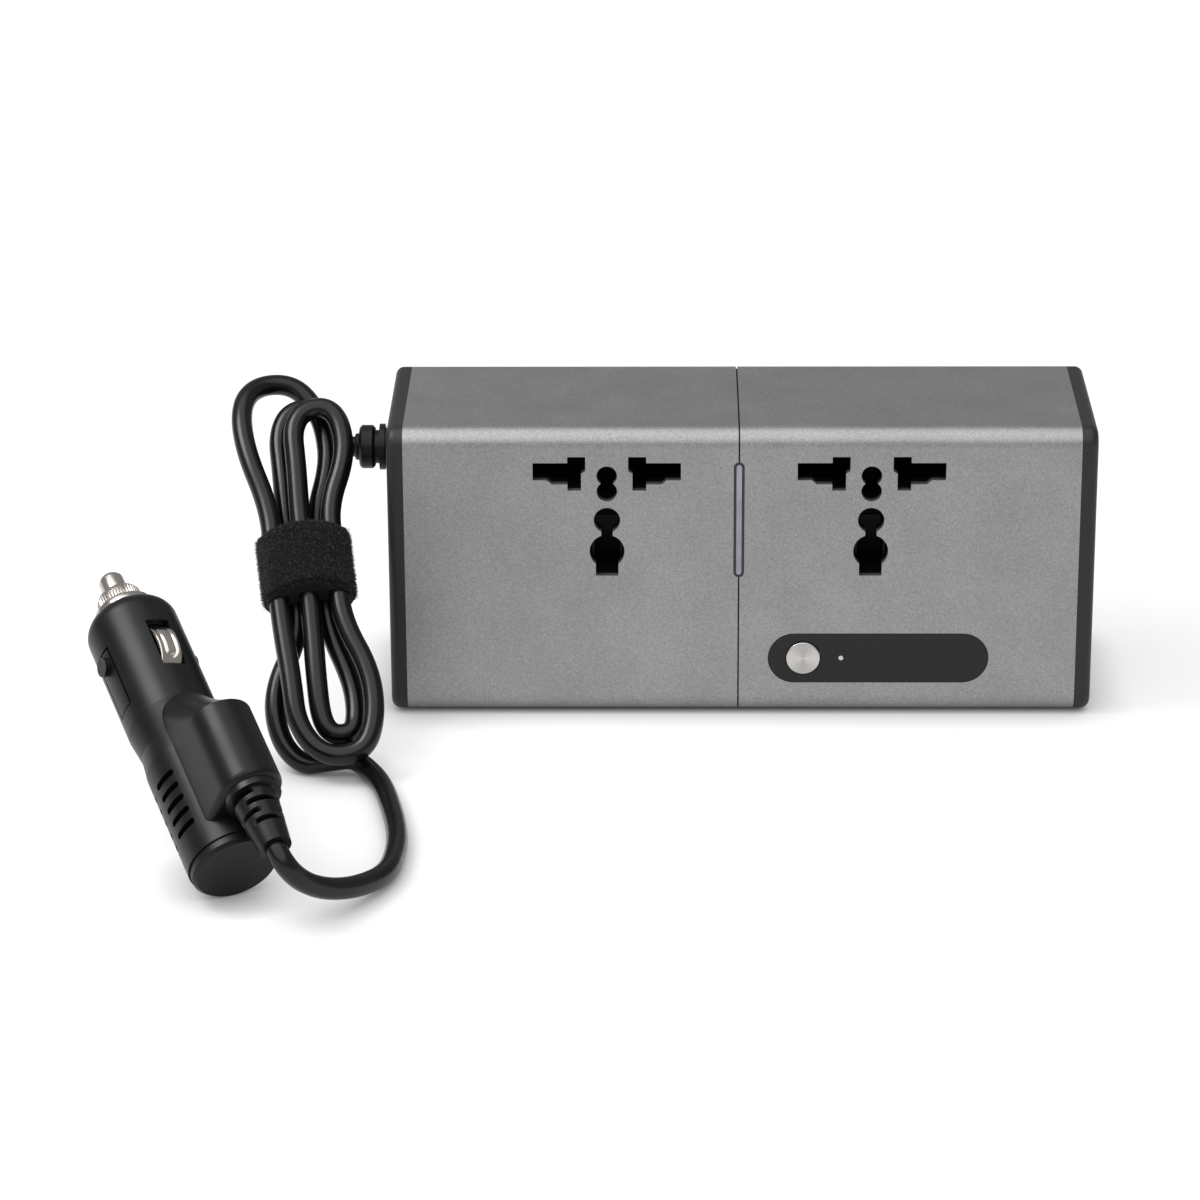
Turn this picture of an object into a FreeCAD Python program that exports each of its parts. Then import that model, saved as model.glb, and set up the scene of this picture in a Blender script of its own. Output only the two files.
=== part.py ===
import FreeCAD, Part
import math
import os
import re
import Sketcher

# Car power inverter: an extruded metal sleeve in two halves between dark end caps, with two
# universal sockets, and a 12 V plug on a strapped hank of cord.
# Millimetres. X runs along the body, the front face looks along -Y, Z is up, and the origin
# is on the table under the middle of the body.

V = FreeCAD.Vector

SIZES = {
    # Body
    "body_length": 166.0,
    "body_depth": 51.0,
    "body_height": 71.0,
    "corner_radius": 4.4,
    "sleeve_wall": 1.8,
    "cap_thickness": 3.9,
    "cap_edge_radius": 2.0,
    "cap_spigot_depth": 5.0,
    "cap_spigot_wall": 1.6,
    "fit_gap": 0.1,
    "running_gap": 0.3,
    "seam_offset": -0.6,
    "seam_gap": 0.36,
    "seam_recess": 0.5,
    "frame_width": 12.0,
    "frame_wall": 2.0,
    "foot_proud": 0.5,
    "foot_recess": 0.8,
    "foot_radius": 5.0,
    "foot_inset_x": 14.0,
    "foot_inset_y": 11.0,
    # Screw channels of the extrusion and the screws in them
    "channel_radius": 2.8,
    "channel_bore": 1.25,
    "channel_inset": 4.4,
    "channel_front_top": 2.0,
    "screw_radius": 1.2,
    "screw_length": 9.0,
    "screw_head_radius": 2.1,
    "screw_head_height": 1.5,
    # Light bar on the seam
    "light_drop": 7.8,
    "light_length": 28.6,
    "light_width": 2.5,
    "light_rim": 0.5,
    "light_proud": 0.15,
    # Universal socket: its live and neutral row hangs from the body's top, and the other
    # places are from the middle of that row
    "socket_offset": 30.9,
    "socket_drop": 10.6,
    "slot_end": 17.3,
    "slot_top": 2.64,
    "slot_low": 1.6,
    "ramp_low": 2.6,
    "ramp_start": 12.8,
    "ramp_end": 14.0,
    "blade_outer": 9.2,
    "blade_inner": 6.0,
    "blade_nick": 1.0,
    "blade_reach": 4.14,
    "pin_hole_radius": 2.4,
    "pin_hole_high": 0.56,
    "pin_hole_low": 4.4,
    "mid_hole_radius": 3.1,
    "mid_hole_drop": 11.55,
    "neck_half": 1.35,
    "earth_hole_radius": 4.1,
    "earth_drop": 19.3,
    "earth_slot_half": 2.65,
    "earth_slot_drop": 25.4,
    "socket_half_width": 19.5,
    "socket_above": 5.6,
    "socket_below": 28.0,
    "socket_depth": 15.4,
    "socket_web": 2.4,
    "socket_back_thickness": 1.6,
    "chamber_margin": 0.9,
    "contact_thickness": 0.5,
    # Control panel
    "panel_length": 52.0,
    "panel_height": 12.3,
    "panel_middle": 32.5,
    "panel_level": 14.1,
    "panel_lip": 1.0,
    "panel_lip_thickness": 1.0,
    "button_place": 14.75,
    "button_radius": 4.04,
    "button_gap": 0.2,
    "button_proud": 0.4,
    "button_travel": 0.6,
    "button_flange_radius": 5.2,
    "button_flange_thickness": 0.8,
    "plunger_radius": 1.2,
    "lamp_place": 23.7,
    "lamp_radius": 0.56,
    "control_board_gap": 6.0,
    "control_board_thickness": 1.2,
    "switch_side": 6.0,
    "switch_height": 3.4,
    # Main board and what stands on it
    "board_thickness": 1.6,
    "board_front": 1.0,
    "board_gap_left": 13.0,
    "board_gap_right": 31.0,
    "board_margin": 4.4,
    "transformer_share": 0.3934,
    "core_width": 33.0,
    "core_height": 28.0,
    "core_room": 6.9,
    "coil_proud": 2.0,
    "core_leg": 7.0,
    "capacitor_radius": 5.0,
    "capacitor_length": 15.0,
    "choke_radius": 8.0,
    "choke_wire": 3.2,
    "choke_drop": 19.0,
    "sink_share": 0.41,
    "sink_margin": 3.0,
    "sink_low": 14.0,
    "sink_height": 44.0,
    "sink_base": 2.4,
    "sink_fin": 1.2,
    "sink_fin_height": 6.0,
    "transistor_width": 10.0,
    "transistor_step": 15.0,
    "transistor_height": 15.0,
    "transistor_thickness": 4.4,
    # Fan
    "fan_room": 11.0,
    "fan_thickness": 10.0,
    "fan_rim": 1.6,
    "fan_blade_gap": 0.8,
    "fan_hub": 8.0,
    "fan_blade_count": 7,
    "fan_strut": 2.4,
    "vent_width": 2.0,
    "vent_share": 0.0563,
    "vent_count": 8,
    # Cable gland on the left cap
    "gland_drop": 12.8,
    "gland_base_radius": 4.6,
    "gland_ring_radius": 5.5,
    "gland_drum_radius": 5.2,
    "gland_neck_radius": 4.0,
    "gland_end_radius": 3.2,
    "gland_length": 8.8,
    # Cord, hank and strap
    "cord_diameter": 4.9,
    "loop_pitch": 7.0,
    "lobe_pitch": 5.6,
    "loop_pitch_along": 6.8,
    "strap_width": 15.2,
    "strap_thickness": 1.3,
    # Plug: lengths along its axis, from the flat end
    "plug_tilt": 28.0,
    "plug_heading": 116.0,
    "plug_roll": 12.2,
    "plug_end_x": -110.3,
    "plug_end_y": -131.2,
    "barrel_radius": 10.5,
    "neck_radius": 9.7,
    "rear_radius": 10.3,
    "plug_wall": 1.7,
    "cap_disc_radius": 9.9,
    "cap_disc_thickness": 2.4,
    "cap_rim_chamfer": 0.7,
    "neck_at": 35.0,
    "barrel_from": 42.0,
    "shoulder_from": 66.0,
    "nose_at": 74.5,
    "nose_flange": 2.0,
    "nose_length": 6.5,
    "nose_radius": 5.1,
    "nose_flange_radius": 7.0,
    "nose_skirt_radius": 5.6,
    "nose_bore": 4.4,
    "pin_radius": 2.7,
    "pin_length": 5.0,
    "fuse_radius": 3.15,
    "fuse_length": 30.0,
    "spring_wire": 0.7,
    "spring_radius": 2.6,
    "hump_offset": 16.5,
    "hump_radius": 7.3,
    "hump_end": 6.8,
    "hump_full": 28.0,
    "relief_radius": 4.6,
    "relief_reach": 15.0,
    "relief_root": 6.0,
    "window_middle": 57.4,
    "window_length": 13.4,
    "window_width": 5.6,
    "clip_width": 5.0,
    "clip_thickness": 0.8,
    "clip_proud": 0.9,
    "clip_foot": 1.7,
    "tab_root": 46.5,
    "tab_length": 16.0,
    "tab_width": 5.2,
    "tab_slot": 0.5,
    "stud_at": 59.5,
    "stud_radius": 2.2,
    "stud_proud": 1.1,
    "slit_pitch": 3.5,
    "slit_count": 5,
    "slit_width": 1.5,
    "slit_reach": 6.4,
    "slit_first": 9.2,
}

doc = FreeCAD.newDocument("inverter")
sheet = doc.addObject("Spreadsheet::Sheet", "Sizes")
for row, (alias, value) in enumerate(SIZES.items(), start=1):
    sheet.set("A%d" % row, str(value))
    sheet.setAlias("A%d" % row, alias)
doc.recompute()

ALIAS = re.compile(r"\b(%s)\b" % "|".join(sorted(SIZES, key=len, reverse=True)))


def size(text):
    """The value of a formula over the sheet's aliases."""
    probe = doc.getObject("Probe") or doc.addObject("Part::Vertex", "Probe")
    probe.setExpression("X", formula(text))
    probe.recompute()
    return float(probe.X)


def formula(text):
    """The formula with each alias pointed at the sheet."""
    return ALIAS.sub(r"Sizes.\1", str(text))


def bind(item, prop, text):
    item.setExpression(prop, formula(text))


def place(item, x, y, z, rotation=None):
    """Stand an object at a place that follows the sheet."""
    item.Placement = FreeCAD.Placement(V(0, 0, 0), rotation or FreeCAD.Rotation())
    bind(item, "Placement.Base.x", x)
    bind(item, "Placement.Base.y", y)
    bind(item, "Placement.Base.z", z)


TURNS = {
    "+Z": FreeCAD.Rotation(),
    "-Z": FreeCAD.Rotation(V(1, 0, 0), 180),
    "+X": FreeCAD.Rotation(V(0, 1, 0), 90),
    "-X": FreeCAD.Rotation(V(0, 1, 0), -90),
    "+Y": FreeCAD.Rotation(V(1, 0, 0), -90),
    "-Y": FreeCAD.Rotation(V(1, 0, 0), 90),
}


def block(name, x, y, z):
    """A box between two places on each axis, given as pairs of formulas."""
    item = doc.addObject("Part::Box", name)
    bind(item, "Length", "(%s) - (%s)" % (x[1], x[0]))
    bind(item, "Width", "(%s) - (%s)" % (y[1], y[0]))
    bind(item, "Height", "(%s) - (%s)" % (z[1], z[0]))
    place(item, x[0], y[0], z[0])
    return item


def rod(name, radius, length, start, way="+Z"):
    """A round bar from a start point along one axis."""
    item = doc.addObject("Part::Cylinder", name)
    bind(item, "Radius", radius)
    bind(item, "Height", length)
    place(item, start[0], start[1], start[2], TURNS[way])
    return item


def fuse(name, *items):
    item = doc.addObject("Part::MultiFuse", name)
    item.Shapes = list(items)
    item.Refine = True
    return item


def cut(name, base, *tools):
    """The base without the tools."""
    tool = tools[0]
    if len(tools) > 1:
        tool = doc.addObject("Part::MultiFuse", name + "_tools")
        tool.Shapes = list(tools)
    item = doc.addObject("Part::Cut", name)
    item.Base = base
    item.Tool = tool
    return item


def group(name, items):
    """Loose solids that share one node."""
    item = doc.addObject("Part::Compound", name)
    item.Links = list(items)
    return item


def common(name, first, second):
    item = doc.addObject("Part::MultiCommon", name)
    item.Shapes = [first, second]
    return item


def stadium(name, middle, level, length, width, y_from, y_to, upright=False):
    """A round-ended bar that points along Y."""
    run = "(%s) / 2 - (%s) / 2" % (length, width)
    half = "(%s) / 2" % width
    depth = "(%s) - (%s)" % (y_to, y_from)
    low, high = "(%s) - (%s)" % (middle, run), "(%s) + (%s)" % (middle, run)
    y_pair = (y_from, y_to)
    side = ("(%s) - %s" % (level, half), "(%s) + %s" % (level, half))
    if upright:
        low, high = "(%s) - (%s)" % (level, run), "(%s) + (%s)" % (level, run)
        side = ("(%s) - %s" % (middle, half), "(%s) + %s" % (middle, half))
        bar = block(name + "_bar", side, y_pair, (low, high))
        ends = [rod(name + "_end%d" % i, half, depth, (middle, y_from, at), "+Y")
                for i, at in enumerate((low, high))]
    else:
        bar = block(name + "_bar", (low, high), y_pair, side)
        ends = [rod(name + "_end%d" % i, half, depth, (at, y_from, level), "+Y")
                for i, at in enumerate((low, high))]
    return fuse(name, bar, *ends)


def polygon(name, points, plane="XZ"):
    """A closed outline whose corners follow the sheet."""
    sketch = doc.addObject("Sketcher::SketchObject", name)
    turn = {"XZ": FreeCAD.Rotation(V(1, 0, 0), 90), "XY": FreeCAD.Rotation()}[plane]
    sketch.Placement = FreeCAD.Placement(V(0, 0, 0), turn)
    values = [V(size(x), size(y), 0) for x, y in points]
    for index, start in enumerate(values):
        end = values[(index + 1) % len(values)]
        sketch.addGeometry(Part.LineSegment(start, end))
    for index, (x, y) in enumerate(points):
        before = (index - 1) % len(points)
        sketch.addConstraint(Sketcher.Constraint("Coincident", before, 2, index, 1))
        for kind, value, text in (("DistanceX", values[index].x, x), ("DistanceY", values[index].y, y)):
            spot = sketch.addConstraint(Sketcher.Constraint(kind, -1, 1, index, 1, value))
            sketch.setExpression("Constraints[%d]" % spot, formula(text))
    return sketch


def extrude(name, sketch, direction, length, start=("0", "0", "0")):
    item = doc.addObject("Part::Extrusion", name)
    item.Base = sketch
    item.Dir = direction
    item.DirMode = "Custom"
    item.Solid = True
    bind(item, "LengthFwd", length)
    place(item, *start)
    return item


def revolve(name, points):
    """A turned piece about its own Z axis, from radius and height pairs."""
    item = doc.addObject("Part::Revolution", name)
    item.Source = polygon(name + "_profile", points)
    item.Axis = V(0, 0, 1)
    item.Base = V(0, 0, 0)
    item.Angle = 360
    item.Solid = True
    return item


def rounded_outline(sketch, width, height, radius):
    """A rectangle with round corners about the sketch's origin, bound to the sheet."""
    half_w, half_h, r = size(width) / 2, size(height) / 2, size(radius)
    first = sketch.GeometryCount
    corners = ((1, 1, 0), (-1, 1, 90), (-1, -1, 180), (1, -1, 270))
    for sign_x, sign_y, angle in corners:
        middle = V(sign_x * (half_w - r), sign_y * (half_h - r), 0)
        circle = Part.Circle(middle, V(0, 0, 1), r)
        sketch.addGeometry(Part.ArcOfCircle(circle, math.radians(angle), math.radians(angle + 90)))
    for index in range(4):
        arc = sketch.Geometry[first + index]
        following = sketch.Geometry[first + (index + 1) % 4]
        sketch.addGeometry(Part.LineSegment(arc.EndPoint, following.StartPoint))
    for index in range(4):
        line = first + 4 + index
        sketch.addConstraint(Sketcher.Constraint("Tangent", first + index, 2, line, 1))
        sketch.addConstraint(Sketcher.Constraint("Tangent", line, 2, first + (index + 1) % 4, 1))
        kind = "Horizontal" if index % 2 == 0 else "Vertical"
        sketch.addConstraint(Sketcher.Constraint(kind, line))
    for index in range(1, 4):
        sketch.addConstraint(Sketcher.Constraint("Equal", first, first + index))
    for kind, at, text in (
        ("Radius", None, radius),
        ("DistanceX", (first, 3), "(%s) / 2 - (%s)" % (width, radius)),
        ("DistanceY", (first, 3), "(%s) / 2 - (%s)" % (height, radius)),
        ("DistanceX", (first + 2, 3), "(%s) - (%s) / 2" % (radius, width)),
        ("DistanceY", (first + 2, 3), "(%s) - (%s) / 2" % (radius, height)),
    ):
        if at is None:
            spot = sketch.addConstraint(Sketcher.Constraint(kind, first, size(text)))
        else:
            spot = sketch.addConstraint(Sketcher.Constraint(kind, -1, 1, at[0], at[1], size(text)))
        sketch.setExpression("Constraints[%d]" % spot, formula(text))


def section_body(name, insets, x_from, x_to, edge_radius=None):
    """A PartDesign body padded along X from the sleeve's section, whole or as a ring."""
    body = doc.addObject("PartDesign::Body", name)
    plane = [f for f in body.Origin.OriginFeatures if f.Role == "YZ_Plane"][0]
    sketch = body.newObject("Sketcher::SketchObject", name + "_section")
    sketch.AttachmentSupport = [(plane, "")]
    sketch.MapMode = "FlatFace"
    for inset in insets:
        rounded_outline(
            sketch,
            "body_depth - 2 * (%s)" % inset,
            "body_height - 2 * (%s)" % inset,
            "max(corner_radius - (%s); 0.4)" % inset,
        )
    pad = body.newObject("PartDesign::Pad", name + "_pad")
    pad.Profile = sketch
    bind(pad, "Length", "(%s) - (%s)" % (x_to, x_from))
    sketch.Visibility = False
    place(body, x_from, "0", BODY_MIDDLE)
    if edge_radius:
        doc.recompute()
        length = pad.Length.Value
        far = length if edge_radius[1] > 0 else 0.0
        edges = [
            "Edge%d" % (n + 1)
            for n, edge in enumerate(pad.Shape.Edges)
            if all(abs(vertex.X - far) < 1e-6 for vertex in edge.Vertexes)
        ]
        fillet = body.newObject("PartDesign::Fillet", name + "_edge")
        fillet.Base = (pad, edges)
        bind(fillet, "Radius", edge_radius[0])
    return body


BODY_MIDDLE = "foot_proud + body_height / 2"
FRONT = "-body_depth / 2"
INNER_FRONT = "sleeve_wall - body_depth / 2"
SEAM = "seam_offset"
LEFT_END = "cap_thickness - body_length / 2"
RIGHT_END = "body_length / 2 - cap_thickness"

nodes = []


def keep(name, item):
    """Name an object as one of the kept pieces."""
    item.Label = name
    nodes.append(item)
    return item


def from_bottom(text):
    return "foot_proud + %s" % text


# Screw channels: two at the back, one low at the front, one under the top wall

CHANNELS = (
    ("channel_inset - body_depth / 2", from_bottom("channel_inset")),
    ("body_depth / 2 - channel_inset", from_bottom("channel_inset")),
    ("body_depth / 2 - channel_inset", from_bottom("body_height - channel_inset")),
    ("-channel_front_top", from_bottom("body_height - channel_inset")),
)


def channel_rods(name, radius, x_from, x_to):
    length = "(%s) - (%s)" % (x_to, x_from)
    return [rod("%s%d" % (name, i), radius, length, (x_from, y, z), "+X")
            for i, (y, z) in enumerate(CHANNELS)]


# Socket openings, the same through the sleeve and into the socket body


def slot_outline(name, side, grow):
    """One live or neutral opening: a wide pin slot joined to an upright blade slot."""
    points = (
        ("slot_end + %s" % grow, "slot_top + %s" % grow),
        ("slot_end + %s" % grow, "-slot_low - %s" % grow),
        ("ramp_end + %s" % grow, "-slot_low - %s" % grow),
        ("ramp_start + %s" % grow, "-ramp_low - %s" % grow),
        ("blade_outer + %s" % grow, "-ramp_low - %s" % grow),
        ("blade_outer + %s" % grow, "-blade_reach - %s" % grow),
        ("blade_inner - %s" % grow, "-blade_reach - %s" % grow),
        ("blade_inner - %s" % grow, "0"),
        ("blade_inner - blade_nick - %s" % grow, "blade_nick * 0.7"),
        ("blade_inner - blade_nick - %s" % grow, "blade_reach + %s" % grow),
        ("blade_outer + %s" % grow, "blade_reach + %s" % grow),
        ("blade_outer + %s" % grow, "slot_top + %s" % grow),
    )
    corners = [("%d * (%s)" % (side, x), z) for x, z in points]
    return polygon(name, corners)


def socket_cutter(name, middle, y_from, y_to, grow="0"):
    """Everything that a socket's face has cut through it."""
    depth = "(%s) - (%s)" % (y_to, y_from)
    level = ROW
    pieces = []
    for side in (-1, 1):
        sketch = slot_outline("%s_slot%d" % (name, side + 1), side, grow)
        pieces.append(extrude("%s_row%d" % (name, side + 1), sketch, V(0, 1, 0), depth,
                              (middle, y_from, level)))
    for index, (radius, drop) in enumerate((
        ("pin_hole_radius", "pin_hole_high"),
        ("pin_hole_radius", "pin_hole_low"),
        ("mid_hole_radius", "mid_hole_drop"),
        ("earth_hole_radius", "earth_drop"),
    )):
        start = (middle, y_from, "%s - %s" % (level, drop))
        pieces.append(rod("%s_hole%d" % (name, index), "%s + %s" % (radius, grow), depth, start, "+Y"))
    for index, (half, high, low) in enumerate((
        ("neck_half", "mid_hole_drop", "earth_drop"),
        ("earth_slot_half", "earth_drop", "earth_slot_drop"),
    )):
        x = ("(%s) - %s - %s" % (middle, half, grow), "(%s) + %s + %s" % (middle, half, grow))
        z = ("%s - %s - %s" % (level, low, grow), "%s - %s" % (level, high))
        pieces.append(block("%s_step%d" % (name, index), x, (y_from, y_to), z))
    return fuse(name, *pieces)


ROW = from_bottom("body_height - socket_drop")
SOCKETS = {"left": "seam_offset - socket_offset", "right": "seam_offset + socket_offset"}
LIGHT_MIDDLE = from_bottom("body_height - light_drop - light_length / 2")
PANEL_LEVEL = from_bottom("panel_level")
GLAND_LEVEL = from_bottom("body_height - gland_drop")


def light_hole(name, y_to):
    return stadium(name, SEAM, LIGHT_MIDDLE, "light_length", "light_width",
                   "%s - 1" % FRONT, y_to, upright=True)


# The two halves of the extruded sleeve


def sleeve(name, x_from, x_to, extra_cuts):
    tube = section_body(name + "_tube", ("0", "sleeve_wall"), x_from, x_to)
    channels = channel_rods(name + "_channel", "channel_radius", x_from, x_to)
    full = fuse(name + "_section", tube, *channels)
    bores = channel_rods(name + "_bore", "channel_bore", "%s - 1" % x_from, "%s + 1" % x_to)
    feet = [foot_seat("%s_seat%d" % (name, i), side, back)
            for i, (side, back) in enumerate(((-1 if name.endswith("left") else 1, s) for s in (-1, 1)))]
    return keep(name, cut(name, full, *(bores + feet + extra_cuts)))


def foot_seat(name, side, back):
    return rod(name, "foot_radius + fit_gap", "foot_proud + foot_recess",
               foot_place(side, back), "+Z")


def foot_place(side, back):
    return ("%d * (body_length / 2 - foot_inset_x)" % side,
            "%d * (body_depth / 2 - foot_inset_y)" % back, "0")


def socket_hole(side):
    return socket_cutter("face_" + side, SOCKETS[side], "%s - 1" % FRONT, "%s + 1" % INNER_FRONT)


panel_hole = stadium("panel_hole", "panel_middle", PANEL_LEVEL, "panel_length + 2 * fit_gap",
                     "panel_height + 2 * fit_gap", "%s - 1" % FRONT, "%s + 0.5" % INNER_FRONT)
sleeve("shell_left", LEFT_END, "seam_offset - seam_gap / 2",
       [socket_hole("left"), light_hole("light_hole_left", "%s + 1" % INNER_FRONT)])
sleeve("shell_right", "seam_offset + seam_gap / 2", RIGHT_END,
       [socket_hole("right"), light_hole("light_hole_right", "%s + 1" % INNER_FRONT), panel_hole])

keep("rubber_feet", group("rubber_feet", [
    rod("foot%d%d" % (side, back), "foot_radius", "foot_proud + foot_recess", foot_place(side, back))
    for side in (-1, 1) for back in (-1, 1)
]))

# The frame inside the seam, whose thin rib shows as the dark line between the halves

frame_low = "seam_offset - frame_width / 2"
frame_high = "seam_offset + frame_width / 2"
frame_ring = section_body("frame_ring", ("sleeve_wall + fit_gap", "sleeve_wall + fit_gap + frame_wall"),
                          frame_low, frame_high)
seam_rib = section_body("seam_rib", ("seam_recess", "sleeve_wall + fit_gap + 0.2"),
                        "seam_offset - seam_gap / 2 + 0.03", "seam_offset + seam_gap / 2 - 0.03")
frame_channels = channel_rods("frame_channel", "channel_radius + 2 * fit_gap", "%s - 1" % frame_low,
                              "%s + 1" % frame_high)
light_slot = light_hole("light_slot", "%s + frame_wall + 1" % INNER_FRONT)
keep("centre_frame", cut("centre_frame", fuse("frame_blank", frame_ring, seam_rib),
                         light_slot, *frame_channels))

# Light bar: a dark rim with a pale strip in it, and a small board of lamps behind

light_back = "%s + frame_wall + 0.5" % INNER_FRONT
light_front = "%s - light_proud" % FRONT
rim = stadium("light_rim", SEAM, LIGHT_MIDDLE, "light_length - 2 * fit_gap",
              "light_width - 2 * fit_gap", light_front, light_back, upright=True)
rim_hole = stadium("light_rim_hole", SEAM, LIGHT_MIDDLE, "light_length - 2 * light_rim",
                   "light_width - 2 * light_rim", "%s - 1" % light_front, "%s + 1" % light_back,
                   upright=True)
keep("light_bar_bezel", cut("light_bar_bezel", rim, rim_hole))
keep("light_bar_lens", stadium("light_bar_lens", SEAM, LIGHT_MIDDLE,
                               "light_length - 2 * light_rim - 2 * fit_gap",
                               "light_width - 2 * light_rim - 2 * fit_gap",
                               FRONT, "%s + 0.4" % light_back, upright=True))
keep("light_board", block("light_board", ("seam_offset - light_width", "seam_offset + light_width"),
                          ("%s + 0.4" % light_back, "%s + 1.6" % light_back),
                          ("%s - light_length / 2 - 1" % LIGHT_MIDDLE, "%s + light_length / 2 + 1" % LIGHT_MIDDLE)))

# End caps with a spigot that enters the sleeve


def screw_heads(name, side, radius, length, inner):
    """Round bars along X at the four channels, from inside the cap's face outward."""
    way = "+X" if side > 0 else "-X"
    return [rod("%s%d" % (name, i), radius, length, ("%d * (%s)" % (side, inner), y, z), way)
            for i, (y, z) in enumerate(CHANNELS)]


def end_cap(name, side, cuts):
    outer = "body_length / 2"
    inner = "body_length / 2 - cap_thickness"
    spigot = "body_length / 2 - cap_thickness - cap_spigot_depth"
    if side > 0:
        plate = section_body(name + "_plate", ("0",), inner, outer, ("cap_edge_radius", 1))
        ring = section_body(name + "_spigot", ("sleeve_wall + fit_gap",
                            "sleeve_wall + fit_gap + cap_spigot_wall"), spigot, inner)
    else:
        plate = section_body(name + "_plate", ("0",), "-%s" % outer, "-(%s)" % inner,
                             ("cap_edge_radius", -1))
        ring = section_body(name + "_spigot", ("sleeve_wall + fit_gap",
                            "sleeve_wall + fit_gap + cap_spigot_wall"), "-(%s)" % inner,
                            "-(%s)" % spigot)
    if side > 0:
        clear = channel_rods(name + "_clear", "channel_radius + 2 * fit_gap", "%s - 1" % spigot, inner)
    else:
        clear = channel_rods(name + "_clear", "channel_radius + 2 * fit_gap", "-(%s)" % inner,
                             "1 - (%s)" % spigot)
    holes = screw_heads(name + "_hole", side, "screw_radius + fit_gap", "cap_thickness + 1", inner)
    sinks = screw_heads(name + "_sink", side, "screw_head_radius + fit_gap", "screw_head_height + 1",
                        "%s - screw_head_height" % outer)
    ring_cut = cut(name + "_ring", ring, *clear)
    blank = fuse(name + "_blank", plate, ring_cut)
    return keep(name, cut(name, blank, *(holes + sinks + cuts)))


VENT_LEVEL = BODY_MIDDLE


def vents(name, side, length):
    """A stack of level slots through a cap's face."""
    slots = []
    for index in range(SIZES["vent_count"]):
        level = "%s + (%s) * vent_share * body_height" % (VENT_LEVEL, index - (SIZES["vent_count"] - 1) / 2.0)
        x = ("%d * (body_length / 2) - 6" % side, "%d * (body_length / 2) + 6" % side)
        bar = block("%s_bar%d" % (name, index), x, ("-(%s) / 2" % length, "(%s) / 2" % length),
                    ("%s - vent_width / 2" % level, "%s + vent_width / 2" % level))
        slots.append(bar)
    return slots


gland_hole = rod("gland_hole", "gland_neck_radius + fit_gap", "cap_thickness + 2",
                 ("1 - body_length / 2 + cap_thickness", "0", GLAND_LEVEL), "-X")
end_cap("end_cap_left", -1, [gland_hole] + vents("vent_left", -1, "body_depth * 0.35"))
end_cap("end_cap_right", 1, vents("vent_right", 1, "body_depth * 0.6"))


def screw_set(name, side):
    """Four countersunk screws with a driver recess."""
    inner = "body_length / 2 - screw_head_height"
    heads = screw_heads(name + "_head", side, "screw_head_radius", "screw_head_height", inner)
    shanks = screw_heads(name + "_shank", side, "screw_radius", "screw_length",
                         "body_length / 2 - screw_head_height - screw_length")
    recess = screw_heads(name + "_recess", side, "screw_radius * 0.8", "1",
                         "body_length / 2 - 0.8")
    return [cut("%s%d" % (name, i), fuse("%s_blank%d" % (name, i), head, shank), hole)
            for i, (head, shank, hole) in enumerate(zip(heads, shanks, recess))]


keep("cap_screws", group("cap_screws", screw_set("screw_left", -1) + screw_set("screw_right", 1)))

# Socket bodies, their contact springs and back plates

SOCKET_FRONT = "%s + fit_gap" % INNER_FRONT
SOCKET_BACK = "%s + socket_depth" % SOCKET_FRONT
CHAMBER_FRONT = "%s + socket_web" % SOCKET_FRONT


def chambers(name, middle):
    """The rooms behind the web that hold the contact springs."""
    y = (CHAMBER_FRONT, "%s + 1" % SOCKET_BACK)
    rooms = []
    for side in (-1, 1):
        near = "(%s) + %d * (blade_inner - blade_nick)" % (middle, side)
        far = "(%s) + %d * (slot_end + 0.4)" % (middle, side)
        x = (far, near) if side < 0 else (near, far)
        rooms.append(block("%s_room%d" % (name, side + 1), x, y,
                           ("%s - blade_reach - 0.3" % ROW, "%s + blade_reach + 0.3" % ROW)))
    x = ("(%s) - earth_hole_radius - 0.4" % middle, "(%s) + earth_hole_radius + 0.4" % middle)
    rooms.append(block(name + "_room_earth", x, y,
                       ("%s - earth_slot_drop - 0.4" % ROW, "%s - mid_hole_drop + 3.4" % ROW)))
    return rooms


def contact_pair(name, x, z, upright):
    """A folded spring: two leaves that grip a pin, joined at the back."""
    y_tip = "%s + chamber_margin" % CHAMBER_FRONT
    base = block(name + "_base", x, ("%s - contact_thickness" % SOCKET_BACK, SOCKET_BACK), z)
    if upright:
        first = block(name + "_leaf0", (x[0], "%s + contact_thickness" % x[0]), (y_tip, SOCKET_BACK), z)
        other = block(name + "_leaf1", ("%s - contact_thickness" % x[1], x[1]), (y_tip, SOCKET_BACK), z)
    else:
        first = block(name + "_leaf0", x, (y_tip, SOCKET_BACK), (z[0], "%s + contact_thickness" % z[0]))
        other = block(name + "_leaf1", x, (y_tip, SOCKET_BACK), ("%s - contact_thickness" % z[1], z[1]))
    return fuse(name, base, first, other)


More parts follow.
